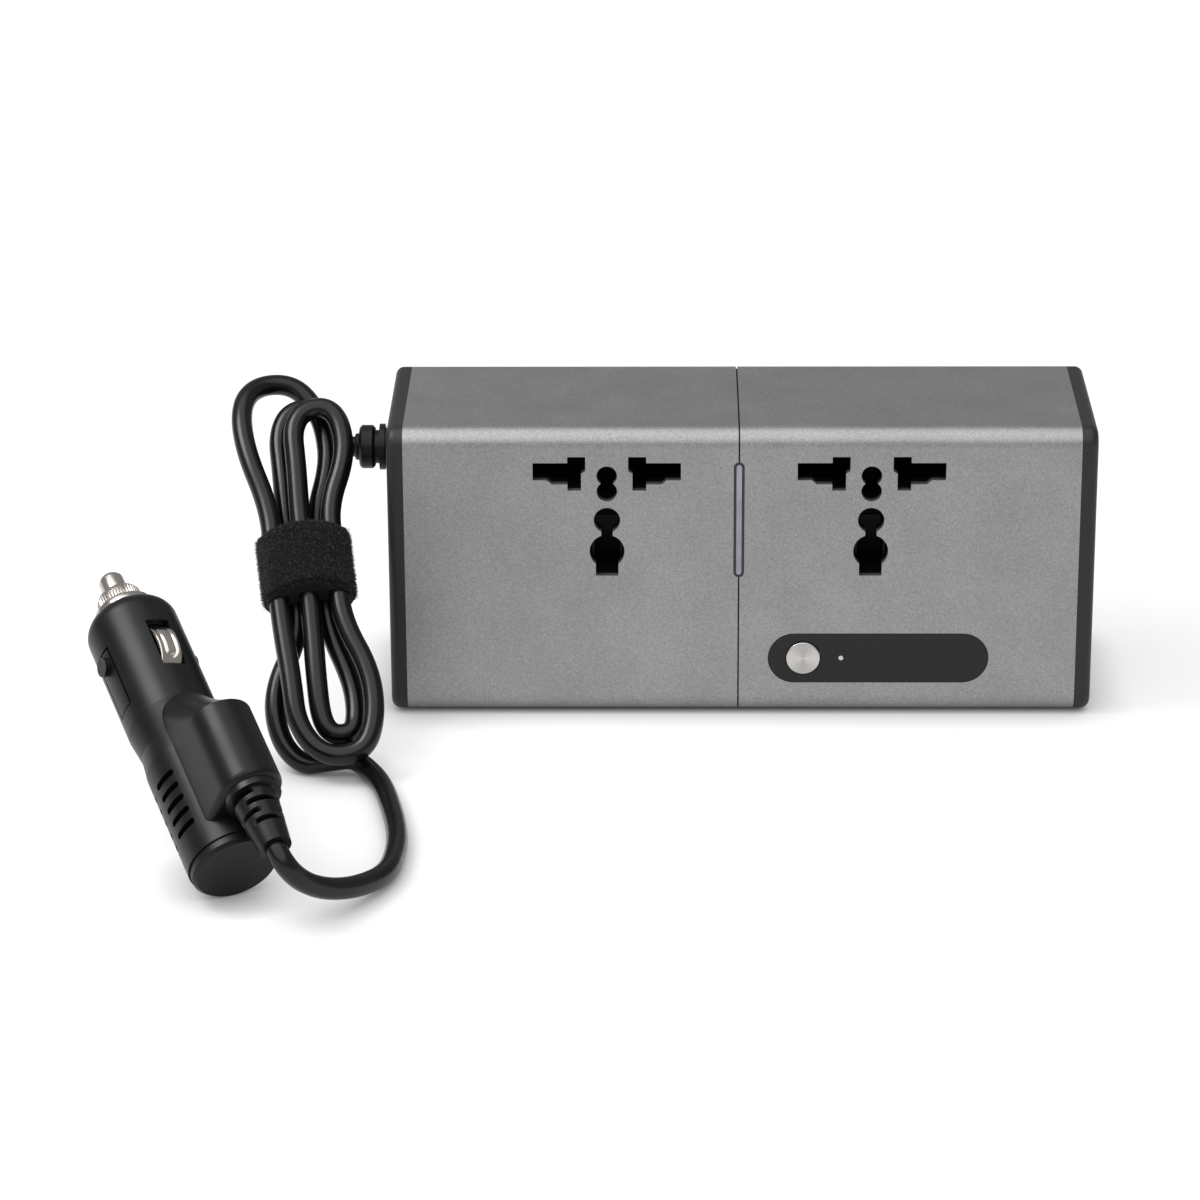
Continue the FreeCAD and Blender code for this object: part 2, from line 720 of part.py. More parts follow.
def socket(side):
    middle = SOCKETS[side]
    x = ("(%s) - socket_half_width" % middle, "(%s) + socket_half_width" % middle)
    z = ("%s - socket_below" % ROW, "%s + socket_above" % ROW)
    shell = block("socket_%s_block" % side, x, (SOCKET_FRONT, SOCKET_BACK), z)
    face = socket_cutter("web_" + side, middle, "%s - 1" % SOCKET_FRONT, "%s + 0.5" % CHAMBER_FRONT)
    pins = [rod("web_%s_pin%d" % (side, i), "pin_hole_radius", "socket_depth - 3",
                (middle, SOCKET_FRONT, "%s - %s" % (ROW, drop)), "+Y")
            for i, drop in enumerate(("pin_hole_high", "pin_hole_low"))]
    keep("socket_body_" + side, cut("socket_body_" + side, shell, face,
                                    *(pins + chambers("socket_" + side, middle))))
    springs = []
    for hand in (-1, 1):
        near = "(%s) + %d * (blade_outer + 0.2)" % (middle, hand)
        far = "(%s) + %d * slot_end" % (middle, hand)
        pair = (far, near) if hand < 0 else (near, far)
        springs.append(contact_pair("contact_%s%d" % (side, hand + 1), pair,
                                    ("%s - ramp_low - contact_thickness - 0.4" % ROW,
                                     "%s + slot_top + contact_thickness + 0.4" % ROW), False))
    springs.append(contact_pair("contact_%s_earth" % side,
                                ("(%s) - earth_slot_half - contact_thickness - 0.4" % middle,
                                 "(%s) + earth_slot_half + contact_thickness + 0.4" % middle),
                                ("%s - earth_slot_drop" % ROW, "%s - earth_drop + 3" % ROW), True))
    keep("socket_contacts_" + side, group("socket_contacts_" + side, springs))
    keep("socket_back_" + side, block("socket_back_" + side, x,
                                      (SOCKET_BACK, "%s + socket_back_thickness" % SOCKET_BACK), z))


for side in ("left", "right"):
    socket(side)

# Control panel, power button with its switch, indicator lamp and control board

LIP_BACK = "%s + panel_lip_thickness" % INNER_FRONT
BOARD_FACE = "%s + control_board_gap" % LIP_BACK

panel_face = stadium("panel_face", "panel_middle", PANEL_LEVEL, "panel_length", "panel_height",
                     FRONT, LIP_BACK)
panel_flange = stadium("panel_flange", "panel_middle", PANEL_LEVEL, "panel_length + 2 * panel_lip",
                       "panel_height + 2 * panel_lip", INNER_FRONT, LIP_BACK)
panel_posts = [rod("panel_post%d" % i, "1.6", "control_board_gap", (x, LIP_BACK, PANEL_LEVEL), "+Y")
               for i, x in enumerate(("panel_middle", "panel_middle + panel_length / 2 - panel_height / 2"))]
button_hole = rod("button_hole", "button_radius + button_gap", "sleeve_wall + panel_lip_thickness + 2",
                  ("button_place", "%s - 1" % FRONT, PANEL_LEVEL), "+Y")
lamp_hole = rod("lamp_hole", "lamp_radius + 0.05", "sleeve_wall + panel_lip_thickness + 2",
                ("lamp_place", "%s - 1" % FRONT, PANEL_LEVEL), "+Y")
keep("control_panel", cut("control_panel", fuse("panel_blank", panel_face, panel_flange, *panel_posts),
                          button_hole, lamp_hole))

BUTTON_BACK = "%s + fit_gap + button_flange_thickness" % LIP_BACK
button_disc = rod("button_disc", "button_radius", "(%s + fit_gap) - (%s) + button_proud" % (LIP_BACK, FRONT),
               ("button_place", "%s - button_proud" % FRONT, PANEL_LEVEL), "+Y")
button_flange = rod("button_flange", "button_flange_radius", "button_flange_thickness",
                 ("button_place", "%s + fit_gap" % LIP_BACK, PANEL_LEVEL), "+Y")
button_blank = fuse("button_blank", button_disc, button_flange)
doc.recompute()
front_edges = [
    (n + 1, 0.35, 0.35)
    for n, edge in enumerate(button_blank.Shape.Edges)
    if abs(edge.BoundBox.YMax - size("%s - button_proud" % FRONT)) < 1e-6
]
power_button = doc.addObject("Part::Fillet", "power_button")
power_button.Base = button_blank
power_button.Edges = front_edges
keep("power_button", power_button)
SWITCH_TOP = "%s - switch_height" % BOARD_FACE
keep("switch_plunger", rod("switch_plunger", "plunger_radius", "(%s) - (%s) + 0.8" % (SWITCH_TOP, BUTTON_BACK),
                           ("button_place", BUTTON_BACK, PANEL_LEVEL), "+Y"))
switch_case = block("switch_case", ("button_place - switch_side / 2", "button_place + switch_side / 2"),
                    (SWITCH_TOP, BOARD_FACE),
                    ("%s - switch_side / 2" % PANEL_LEVEL, "%s + switch_side / 2" % PANEL_LEVEL))
switch_bore = rod("switch_bore", "plunger_radius + running_gap", "0.8 + button_travel + running_gap + 1",
                  ("button_place", "%s - 1" % SWITCH_TOP, PANEL_LEVEL), "+Y")
keep("power_switch", cut("power_switch", switch_case, switch_bore))
keep("indicator_lens", rod("indicator_lens", "lamp_radius", "(%s) - (%s)" % (BOARD_FACE, FRONT),
                           ("lamp_place", FRONT, PANEL_LEVEL), "+Y"))
keep("control_board", block("control_board", ("panel_middle - panel_length / 2 + 2", "panel_middle + panel_length / 2 - 2"),
                            (BOARD_FACE, "%s + control_board_thickness" % BOARD_FACE),
                            ("%s - panel_height / 2 + 0.6" % PANEL_LEVEL, "%s + panel_height / 2 - 0.6" % PANEL_LEVEL)))

# Main board and its parts, which stand on its back side

BOARD_BACK = "board_front + board_thickness"
BOARD_LEFT = "board_gap_left - body_length / 2"
BOARD_RIGHT = "body_length / 2 - board_gap_right"
BOARD_LENGTH = "(body_length - board_gap_left - board_gap_right)"
CORE_X = "%s + transformer_share * %s" % (BOARD_LEFT, BOARD_LENGTH)
keep("main_board", block("main_board", (BOARD_LEFT, BOARD_RIGHT), ("board_front", BOARD_BACK),
                         (from_bottom("board_margin"), from_bottom("body_height - board_margin"))))

core_x = ("%s - core_width / 2" % CORE_X, "%s + core_width / 2" % CORE_X)
core_z = ("%s - core_height / 2" % BODY_MIDDLE, "%s + core_height / 2" % BODY_MIDDLE)
core_y = ("%s + 1" % BOARD_BACK, "body_depth / 2 - core_room + 1")
core_block = block("core_block", core_x, core_y, core_z)
windows = []
for hand in (-1, 1):
    near = "%s + %d * core_leg / 2" % (CORE_X, hand)
    far = "%s + %d * (core_width / 2 - core_leg / 2)" % (CORE_X, hand)
    pair = (far, near) if hand < 0 else (near, far)
    windows.append(block("core_window%d" % (hand + 1), pair, ("%s - 1" % core_y[0], "%s + 1" % core_y[1]),
                         ("%s + core_leg / 2" % core_z[0], "%s - core_leg / 2" % core_z[1])))
keep("transformer_core", cut("transformer_core", core_block, *windows))
coil_x = ("%s + core_leg / 2 + 0.3" % core_x[0], "%s - core_leg / 2 - 0.3" % core_x[1])
coil_z = ("%s + core_leg / 2 + 0.3" % core_z[0], "%s - core_leg / 2 - 0.3" % core_z[1])
coil_block = block("coil_block", coil_x, (BOARD_BACK, "%s + coil_proud" % core_y[1]), coil_z)
leg_room = block("leg_room", ("%s - core_leg / 2 - 0.3" % CORE_X, "%s + core_leg / 2 + 0.3" % CORE_X),
                 ("%s - 0.3" % core_y[0], "%s + 0.3" % core_y[1]), ("%s - 1" % coil_z[0], "%s + 1" % coil_z[1]))
keep("transformer_winding", cut("transformer_winding", coil_block, leg_room))

keep("capacitors", group("capacitors", [
    rod("capacitor%d" % i, "capacitor_radius", "capacitor_length",
        ("%s + 9 + %d * (2 * capacitor_radius + 1.5)" % (BOARD_LEFT, i % 2), BOARD_BACK,
         from_bottom("14 + %d * (2 * capacitor_radius + 1.5)" % (i // 2))), "+Y")
    for i in range(4)
]))
choke = doc.addObject("Part::Torus", "choke_coil")
bind(choke, "Radius1", "choke_radius")
bind(choke, "Radius2", "choke_wire")
place(choke, "%s + choke_radius + choke_wire + 2" % BOARD_LEFT, "%s + choke_wire" % BOARD_BACK,
      from_bottom("body_height - choke_drop"), TURNS["+Y"])
keep("filter_choke", choke)

SINK_LENGTH = "sink_share * %s" % BOARD_LENGTH
sink_x = ("%s - %s - sink_margin" % (BOARD_RIGHT, SINK_LENGTH), "%s - sink_margin" % BOARD_RIGHT)
sink_y = "%s + transistor_thickness" % BOARD_BACK
sink_z = (from_bottom("sink_low"), from_bottom("sink_low + sink_height"))
sink_parts = [block("sink_plate", sink_x, (sink_y, "%s + sink_base" % sink_y), sink_z)]
fin_count = 9
for index in range(fin_count):
    low = "%s + %d * (sink_height - sink_fin) / %d" % (sink_z[0], index, fin_count - 1)
    sink_parts.append(block("sink_fin%d" % index, sink_x,
                            (sink_y, "%s + sink_base + sink_fin_height" % sink_y),
                            (low, "%s + sink_fin" % low)))
keep("heat_sink", fuse("heat_sink", *sink_parts))
TRANSISTOR_FIRST = "%s + (%s - transistor_width) / 2 - transistor_step" % (sink_x[0], SINK_LENGTH)
keep("power_transistors", group("power_transistors", [
    block("transistor%d" % i,
          ("%s + %d * transistor_step" % (TRANSISTOR_FIRST, i % 3),
           "%s + %d * transistor_step + transistor_width" % (TRANSISTOR_FIRST, i % 3)),
          (BOARD_BACK, sink_y),
          ("%s + 4 + %d * sink_height / 2" % (sink_z[0], i // 3),
           "%s + 4 + %d * sink_height / 2 + transistor_height" % (sink_z[0], i // 3)))
    for i in range(6)
]))

# Fan behind the right cap's slots

fan_right = "body_length / 2 - cap_thickness - 0.6"
fan_left = "%s - fan_thickness" % fan_right
FAN_HALF = "(body_depth / 2 - fan_room / 2)"
FAN_BORE = "(body_depth / 2 - fan_room / 2 - fan_rim)"
BLADE_REACH = "%s - fan_blade_gap" % FAN_BORE
fan_box = block("fan_box", (fan_left, fan_right), ("-%s" % FAN_HALF, FAN_HALF),
                ("%s - %s" % (BODY_MIDDLE, FAN_HALF), "%s + %s" % (BODY_MIDDLE, FAN_HALF)))
fan_hole = rod("fan_hole", FAN_BORE, "fan_thickness + 2", ("%s - 1" % fan_left, "0", BODY_MIDDLE), "+X")
fan_case = cut("fan_case", fan_box, fan_hole)
motor_seat = rod("motor_seat", "fan_hub", "1.6", (fan_left, "0", BODY_MIDDLE), "+X")
motor_pin = rod("motor_pin", "1.0", "fan_thickness - 3.8", (fan_left, "0", BODY_MIDDLE), "+X")
struts = []
for index in range(3):
    strut = doc.addObject("Part::Box", "fan_strut%d" % index)
    bind(strut, "Length", "1.6")
    bind(strut, "Width", "fan_strut")
    bind(strut, "Height", "%s + 0.8" % FAN_BORE)
    place(strut, fan_left, "0", BODY_MIDDLE, FreeCAD.Rotation(V(1, 0, 0), 120 * index))
    struts.append(strut)
keep("fan_frame", fuse("fan_frame", fan_case, motor_seat, motor_pin, *struts))

rotor_left = "%s + 2.0" % fan_left
rotor_length = "fan_thickness - 2.8"
hub = rod("rotor_hub", "fan_hub", rotor_length, (rotor_left, "0", BODY_MIDDLE), "+X")
hub_bore = rod("rotor_bore", "1.05", "fan_thickness - 4.5", ("%s - 1" % rotor_left, "0", BODY_MIDDLE), "+X")
blades = []
for index in range(SIZES["fan_blade_count"]):
    blade = doc.addObject("Part::Box", "rotor_blade%d" % index)
    bind(blade, "Length", "fan_thickness - 4.5")
    bind(blade, "Width", "1.1")
    bind(blade, "Height", BLADE_REACH)
    around = FreeCAD.Rotation(V(1, 0, 0), 360.0 / SIZES["fan_blade_count"] * index)
    pitch = FreeCAD.Rotation(V(0, 0, 1), 32)
    place(blade, "%s + 0.6" % rotor_left, "0", BODY_MIDDLE, around.multiply(pitch))
    blades.append(blade)
tip_ring = rod("rotor_reach", BLADE_REACH, rotor_length, (rotor_left, "0", BODY_MIDDLE), "+X")
bladed = common("rotor_blades", fuse("rotor_blank", hub, *blades), tip_ring)
keep("fan_rotor", cut("fan_rotor", bladed, hub_bore))

# Cable gland on the left cap and the nut that holds it from inside

GLAND_FACE = "-body_length / 2"
gland_steps = (
    ("cord_diameter / 2", "-cap_thickness - 3.4"),
    ("gland_neck_radius", "-cap_thickness - 3.4"),
    ("gland_neck_radius", "0"),
    ("gland_base_radius", "0"),
    ("gland_base_radius", "1.6"),
    ("gland_ring_radius", "1.6"),
    ("gland_ring_radius", "2.9"),
    ("gland_neck_radius", "2.9"),
    ("gland_neck_radius", "4.0"),
    ("gland_drum_radius - 0.6", "4.0"),
    ("gland_drum_radius", "4.6"),
    ("gland_drum_radius", "7.1"),
    ("gland_drum_radius - 0.6", "7.7"),
    ("gland_end_radius", "7.7"),
    ("gland_end_radius", "gland_length - 0.3"),
    ("gland_end_radius - 0.3", "gland_length"),
    ("cord_diameter / 2", "gland_length"),
)
gland = keep("cable_gland", revolve("cable_gland", gland_steps))
place(gland, GLAND_FACE, "0", GLAND_LEVEL, TURNS["-X"])
nut_blank = doc.addObject("Part::Prism", "nut_blank")
nut_blank.Polygon = 6
bind(nut_blank, "Circumradius", "gland_neck_radius + 2.2")
bind(nut_blank, "Height", "2.6")
place(nut_blank, "cap_thickness - body_length / 2", "0", GLAND_LEVEL,
      TURNS["+X"].multiply(FreeCAD.Rotation(V(0, 0, 1), 30)))
nut_hole = rod("nut_hole", "gland_neck_radius + 0.05", "6",
               ("cap_thickness - body_length / 2 - 1", "0", GLAND_LEVEL), "+X")
keep("gland_nut", cut("gland_nut", nut_blank, nut_hole))

# Hank of cord, in its own plane: u across, v up along it, w out of its front
# Its strands lie in two layers. The path winds in through the front layer, changes layer at
# the bottom of its inmost loop, and winds out again through the back layer.

CORD = size("cord_diameter")
PITCH = size("loop_pitch")
LOBE_PITCH = size("lobe_pitch")
REACH = size("loop_pitch_along")
TURNS_OF_CORD = 2.5
LAYER_CHANGE = 1.5
LAYER_AT_WAIST = 2.4
LAYER_AT_ENDS = 3.0
WAIST_HALF = 8.0
# The loops' upper bends: front ones lie to the right of back ones
TOP_LEVEL = 39.5
TOP_MIDDLE = 5.5
TOP_SHIFT = 2.2
TOP_HALF = 4.4
TOP_GROWTH = 1.1
TOP_DROP = 1.45
# Their lower bends, of which the last is lower and further left, behind the first
BOTTOM_LEVEL = 38.6
BOTTOM_MIDDLE = 1.7
BOTTOM_HALF = 3.6
BOTTOM_RISE = 1.25
LAST_SHIFT = V(-4.2, -2.0, 0)
# The first loop is the widest: its lead comes up behind the others
LEAD_STRAIGHT = 1.2
LEAD_BEND = V(7.6, 38.6, -8.6)
LEAD_HEADING = V(-0.5, 0.86, 0)
FIRST_TOP = V(-2.3, 50.2, -5.0)
FIRST_SIDE = V(-11.9, 39.5, 1.0)
# The hank stands on its last bend and leans so far that the gland's mouth is behind it
FOOT = V(-2.5, -47.4, -LAYER_AT_ENDS)
FOOT_ON_TABLE = V(-14.88 - size("body_length") / 2, -60.78, 2.58)
MOUTH_BEHIND_FOOT = 5.46
TWIST = 7.84
MOUTH = V(-size("body_length") / 2 - size("gland_length"), 0, size(GLAND_LEVEL))
foot_to_mouth = MOUTH - FOOT_ON_TABLE
LEAN = math.degrees(math.atan2(foot_to_mouth.z, foot_to_mouth.y)
                    + math.asin(MOUTH_BEHIND_FOOT / math.hypot(foot_to_mouth.y, foot_to_mouth.z)))
HANK = FreeCAD.Placement(
    FOOT_ON_TABLE,
    FreeCAD.Rotation(V(1, 0, 0), LEAN).multiply(FreeCAD.Rotation(V(0, 0, 1), TWIST)),
).multiply(FreeCAD.Placement(-FOOT, FreeCAD.Rotation()))
print("hank: lean %.3f, origin" % LEAN, HANK.Base)
# Each station of a turn: its place round the turn, and the way the cord heads there
STATIONS = (
    ("top", 0.0, V(-1, 0, 0)),
    ("wide_top", 0.12, V(0, -1, 0)),
    ("waist_high", 0.22, V(0, -1, 0)),
    ("waist_low", 0.28, V(0, -1, 0)),
    ("wide_bottom", 0.38, V(0, -1, 0)),
    ("bottom", 0.5, V(1, 0, 0)),
    ("wide_bottom", 0.62, V(0, 1, 0)),
    ("waist_low", 0.72, V(0, 1, 0)),
    ("waist_high", 0.78, V(0, 1, 0)),
    ("wide_top", 0.88, V(0, 1, 0)),
)


def loop_size(turn):
    """How far out in the spiral the cord is: 0 where it changes layer."""
    return abs(LAYER_CHANGE - turn)


def layer(turn, depth):
    """The front layer before the change, the back layer after it."""
    return depth * max(-1.0, min(1.0, (LAYER_CHANGE - turn) / 0.2))


def station_point(kind, turn):
    """Where the cord is at one station."""
    side = -1 if turn % 1.0 < 0.5 else 1
    if kind.startswith("waist"):
        middle_turn = math.floor(turn) + (0.25 if side < 0 else 0.75)
        across = PITCH * (side * loop_size(middle_turn) + 0.25)
        return V(across, WAIST_HALF if kind == "waist_high" else -WAIST_HALF, layer(turn, LAYER_AT_WAIST))
    depth = layer(turn, LAYER_AT_ENDS)
    if kind.endswith("top"):
        if turn < 0.2:
            return FIRST_SIDE
        front = 1 if turn < LAYER_CHANGE else -1
        bend = V(TOP_MIDDLE + front * TOP_SHIFT, TOP_LEVEL, depth)
        half = TOP_HALF + TOP_GROWTH * loop_size(turn)
        rise = -TOP_DROP * half
    else:
        bend = V(BOTTOM_MIDDLE, -BOTTOM_LEVEL - REACH * loop_size(turn), depth)
        if turn > TURNS_OF_CORD - 0.2:
            bend += LAST_SHIFT
        half = BOTTOM_HALF + LOBE_PITCH * loop_size(turn)
        rise = BOTTOM_RISE * half
    if kind.startswith("wide"):
        bend += V(side * half, rise, 0)
    return bend


def hank_stations():
    """Every station of the hank, from the gland's mouth to where the tail starts."""
    inward = HANK.inverse()
    leaving = HANK.Rotation.inverted().multVec(V(-1, 0, 0))
    points = [inward.multVec(MOUTH), inward.multVec(MOUTH - V(LEAD_STRAIGHT, 0, 0)), LEAD_BEND, FIRST_TOP]
    headings = [leaving, leaving, LEAD_HEADING, V(-1, 0, 0)]
    turn = 0.0
    while turn < TURNS_OF_CORD:
        for kind, fraction, heading in STATIONS:
            at = turn + fraction
            if 0.0 < at <= TURNS_OF_CORD:
                points.append(station_point(kind, at))
                headings.append(heading)
        turn += 1.0
    points.append(points[-1] + V(CORD, 0, 0))
    headings.append(V(1, 0, 0))
    # A station between two layers also heads from one to the other
    for index in range(2, len(points) - 1):
        before, after = points[index - 1], points[index + 1]
        rise = (after.z - before.z) / ((points[index] - before).Length + (after - points[index]).Length)
        tilted = V(headings[index].x, headings[index].y, rise)
        headings[index] = tilted.normalize()
    headings[-2] = V(headings[-1])
    return points, headings


def arc_between(start, corner, end):
    """The arc from start to end that touches both legs of the corner."""
    middle = (start + end) * 0.5
    toward = corner - middle
    half_chord = (end - start).Length / 2
    if toward.Length < 1e-4 * half_chord:
        return Part.LineSegment(start, end).toShape()
    radius = half_chord * math.hypot(half_chord, toward.Length) / toward.Length
    rise = radius - math.sqrt(radius * radius - half_chord * half_chord)
    return Part.Arc(start, middle + toward * (rise / toward.Length), end).toShape()


def biarc(start, heading, end, arriving):
    """Two arcs that leave and arrive along the given headings."""
    span = end - start
    both = heading + arriving
    square = 2 * (1 - heading.dot(arriving))
    reach = span.dot(both)
    if (end - start).cross(heading).Length < 1e-6 and square < 1e-9:
        return [Part.LineSegment(start, end).toShape()]
    if square < 1e-6:
        leg = span.dot(span) / (4 * span.dot(arriving))
    else:
        leg = (math.sqrt(reach * reach + square * span.dot(span)) - reach) / square
    first = start + heading * leg
    second = end - arriving * leg
    join = (first + second) * 0.5
    return [arc_between(start, first, join), arc_between(join, second, end)]


def round_tube(edges, diameter):
    """A round tube along edges that meet smoothly."""
    path = Part.Wire(edges)
    first = edges[0]
    heading = first.tangentAt(first.FirstParameter)
    ring = Part.Wire([Part.makeCircle(diameter / 2, first.valueAt(first.FirstParameter), heading)])
    return path, path.makePipeShell([ring], True, False)


def least_gap(path, diameter):
    """The least clear distance between parts of a path that lie apart along it."""
    step = diameter / 4
    spots = path.discretize(Distance=step)
    apart = int(math.pi * diameter / step)
    least = 1e9
    for index, spot in enumerate(spots):
        for other in range(index + apart, len(spots)):
            gap = spot.distanceToPoint(spots[other])
            if gap < least:
                least = gap
                where = (index * step, other * step)
    return least - diameter, where


def solid_piece(name, shape, placement=None):
    """A piece whose shape is worked out here, in its own frame."""
    item = doc.addObject("Part::Feature", name)
    item.Shape = shape
    if placement:
        item.Placement = placement.multiply(item.Placement)
    return item


hank_points, hank_headings = hank_stations()
hank_edges = []
for index in range(len(hank_points) - 1):
    hank_edges += biarc(hank_points[index], hank_headings[index],
                        hank_points[index + 1], hank_headings[index + 1])
hank_path, hank_solid = round_tube(hank_edges, CORD)
gap, where = least_gap(hank_path, CORD)
print("hank: %.0f mm of cord, least gap to itself %.2f mm" % (hank_path.Length, gap), where)
print("hank: tightest arc %.1f mm" % min(edge.Curve.Radius for edge in hank_edges
                                         if isinstance(edge.Curve, Part.Circle)))
keep("cord_hank", solid_piece("cord_hank", hank_solid, HANK))
hank_end = HANK.multVec(hank_points[-1])
hank_end_heading = HANK.Rotation.multVec(hank_headings[-1])
print("hank ends at", hank_end, "heading", hank_end_heading)

# Strap round the waist of the hank


def strap_section(half_width, half_depth, corner):
    """A flat loop with round corners, in the plane across the hank."""
    edges = []
    spots = []
    for sign_x, sign_z, angle in ((1, 1, 0), (-1, 1, 90), (-1, -1, 180), (1, -1, 270)):
        middle = V(sign_x * (half_width - corner), 0, sign_z * (half_depth - corner))
        first, mid, last = [
            middle + V(corner * math.cos(math.radians(angle + step)), 0,
                       corner * math.sin(math.radians(angle + step)))
            for step in (0, 45, 90)
        ]
        edges.append(Part.Arc(first, mid, last).toShape())
        spots.append((first, last))
    for index in range(4):
        edges.append(Part.LineSegment(spots[index][1], spots[(index + 1) % 4][0]).toShape())
    return Part.Face(Part.Wire(Part.sortEdges(edges)[0]))


strap_corner = CORD / 2 + size("2 * fit_gap")
strap_half = PITCH + strap_corner
strap_depth = LAYER_AT_WAIST + strap_corner
strap_wall = size("strap_thickness")
strap_run = V(0, size("strap_width"), 0)
strap_outer = strap_section(strap_half + strap_wall, strap_depth + strap_wall, strap_corner + strap_wall)
strap_room = strap_section(strap_half, strap_depth, strap_corner)
strap_solid = strap_outer.extrude(strap_run).cut(strap_room.extrude(strap_run))
strap_solid.translate(V(0, -size("strap_width") / 2, 0))
keep("cord_strap", solid_piece("cord_strap", strap_solid, HANK))

# Plug, in its own frame: Z from the flat end to the tip, X towards the cord housing

tilt = math.radians(size("plug_tilt"))
PLUG = FreeCAD.Placement(
    V(size("plug_end_x"), size("plug_end_y"),
      size("cap_disc_radius") * math.cos(tilt) - size("cap_rim_chamfer") * math.sin(tilt)),
    FreeCAD.Rotation(V(0, 0, 1), size("plug_heading"))
    .multiply(FreeCAD.Rotation(V(0, 1, 0), 90 - size("plug_tilt")))
    .multiply(FreeCAD.Rotation(V(0, 0, 1), 180 + size("plug_roll"))),
)


def keep_on_plug(name, item):
    """Keep a piece that was made in the plug's frame."""
    doc.recompute()
    item.Placement = PLUG.multiply(item.Placement)
    return keep(name, item)


outer = revolve("barrel_outer", (
    ("0", "cap_disc_thickness"),
    ("rear_radius", "cap_disc_thickness"),
    ("rear_radius", "neck_at - 5"),
    ("neck_radius", "neck_at"),
    ("barrel_radius", "barrel_from"),
    ("barrel_radius", "nose_at"),
    ("0", "nose_at"),
))
doc.recompute()
barrel = doc.addObject("Part::Fillet", "barrel")
barrel.Base = outer
shoulder = size("nose_at - shoulder_from") * 0.55
barrel.Edges = [
    (n + 1, shoulder, shoulder)
    for n, edge in enumerate(outer.Shape.Edges)
    if len(edge.Vertexes) == 1 and abs(edge.BoundBox.ZMin - size("nose_at")) < 1e-6
    and abs(edge.BoundBox.ZMax - size("nose_at")) < 1e-6
]


def hump_section(near, far, radius, level):
    """A round-ended outline from near to far along X."""
    a, b = V(near, -radius, level), V(far, -radius, level)
    c, d = V(far, radius, level), V(near, radius, level)
    return Part.Wire([
        Part.LineSegment(a, b).toShape(),
        Part.Arc(b, V(far + radius, 0, level), c).toShape(),
        Part.LineSegment(c, d).toShape(),
        Part.Arc(d, V(near - radius, 0, level), a).toShape(),
    ])


hump_far = size("hump_offset")
hump_radius = size("hump_radius")
hump_full = Part.Face(hump_section(1.5, hump_far, hump_radius, size("hump_end"))).extrude(
    V(0, 0, size("hump_full - hump_end")))
hump_slope = Part.makeLoft([
    hump_section(1.5, hump_far, hump_radius, size("hump_full")),
    hump_section(1.2, hump_far * 0.55, hump_radius * 0.97, size("hump_full") + 7.0),
    hump_section(1.0, hump_far * 0.2, hump_radius * 0.92, size("barrel_from") + 1.0),
], True)
rim_edges = [edge for edge in hump_full.Edges
             if abs(edge.BoundBox.ZMin - size("hump_end")) < 1e-6
             and abs(edge.BoundBox.ZMax - size("hump_end")) < 1e-6]
hump = solid_piece("hump", hump_full.makeFillet(1.6, rim_edges).fuse(hump_slope))

cavity = revolve("cavity", (
    ("0", "cap_disc_thickness - 1"),
    ("rear_radius - plug_wall", "cap_disc_thickness - 1"),
    ("rear_radius - plug_wall", "neck_at - 6"),
    ("neck_radius - plug_wall", "neck_at - 1"),
    ("neck_radius - plug_wall", "neck_at + 1"),
    ("barrel_radius - plug_wall", "barrel_from + 1"),
    ("barrel_radius - plug_wall", "shoulder_from"),
    ("nose_skirt_radius + fit_gap", "shoulder_from"),
    ("nose_skirt_radius + fit_gap", "nose_at + 1"),
    ("0", "nose_at + 1"),
))
window_low = "window_middle - window_length / 2"
window_high = "window_middle + window_length / 2"
relief_seat = rod("relief_seat", "relief_radius - 1.0 + fit_gap", "relief_root + fit_gap + 1",
                  ("hump_offset", "0", "hump_end - 1"))
cuts = [cavity, relief_seat]
# Each slit is a round-ended bar that points out from inside the barrel
slit_end = size("slit_reach / 2 - slit_width / 2")
slit_bar = Part.Face(hump_section(-slit_end, slit_end, size("slit_width / 2"), 0)).extrude(V(0, 0, 6))
slit_bar.rotate(V(0, 0, 0), V(1, 0, 0), -90)
slit_bar.translate(V(0, size("rear_radius") - 3.4, 0))
SLIT_ANGLES = (-38.0, 14.0)
for hand in (-1, 1):
    x = ("0", "barrel_radius + 2") if hand > 0 else ("-barrel_radius - 2", "0")
    cuts.append(block("window%d" % (hand + 1), x, ("-window_width / 2", "window_width / 2"),
                      (window_low, window_high)))
    y = ("0", "barrel_radius + 2") if hand > 0 else ("-barrel_radius - 2", "0")
    cuts.append(block("tab_room%d" % (hand + 1), ("-tab_width / 2 - tab_slot", "tab_width / 2 + tab_slot"),
                      y, ("tab_root - running_gap", "tab_root + tab_length + tab_slot")))
    for column, angle in enumerate(SLIT_ANGLES):
        for slit in range(SIZES["slit_count"]):
            turn = FreeCAD.Rotation(V(0, 0, 1), -hand * angle + (0 if hand > 0 else 180))
            level = size("slit_first + slit_width / 2 + %d * slit_pitch" % slit)
            cuts.append(solid_piece("slit%d%d%d" % (hand + 1, column, slit), slit_bar,
                                    FreeCAD.Placement(V(0, 0, level), turn)))
plug_hollow = cut("plug_hollow", fuse("plug_blank", barrel, hump), *cuts)
for name, y in (("plug_shell_front", ("-40", "0")), ("plug_shell_rear", ("0", "40"))):
    half = block(name + "_half", ("-40", "60"), y, ("-10", "100"))
    keep_on_plug(name, common(name, plug_hollow, half))

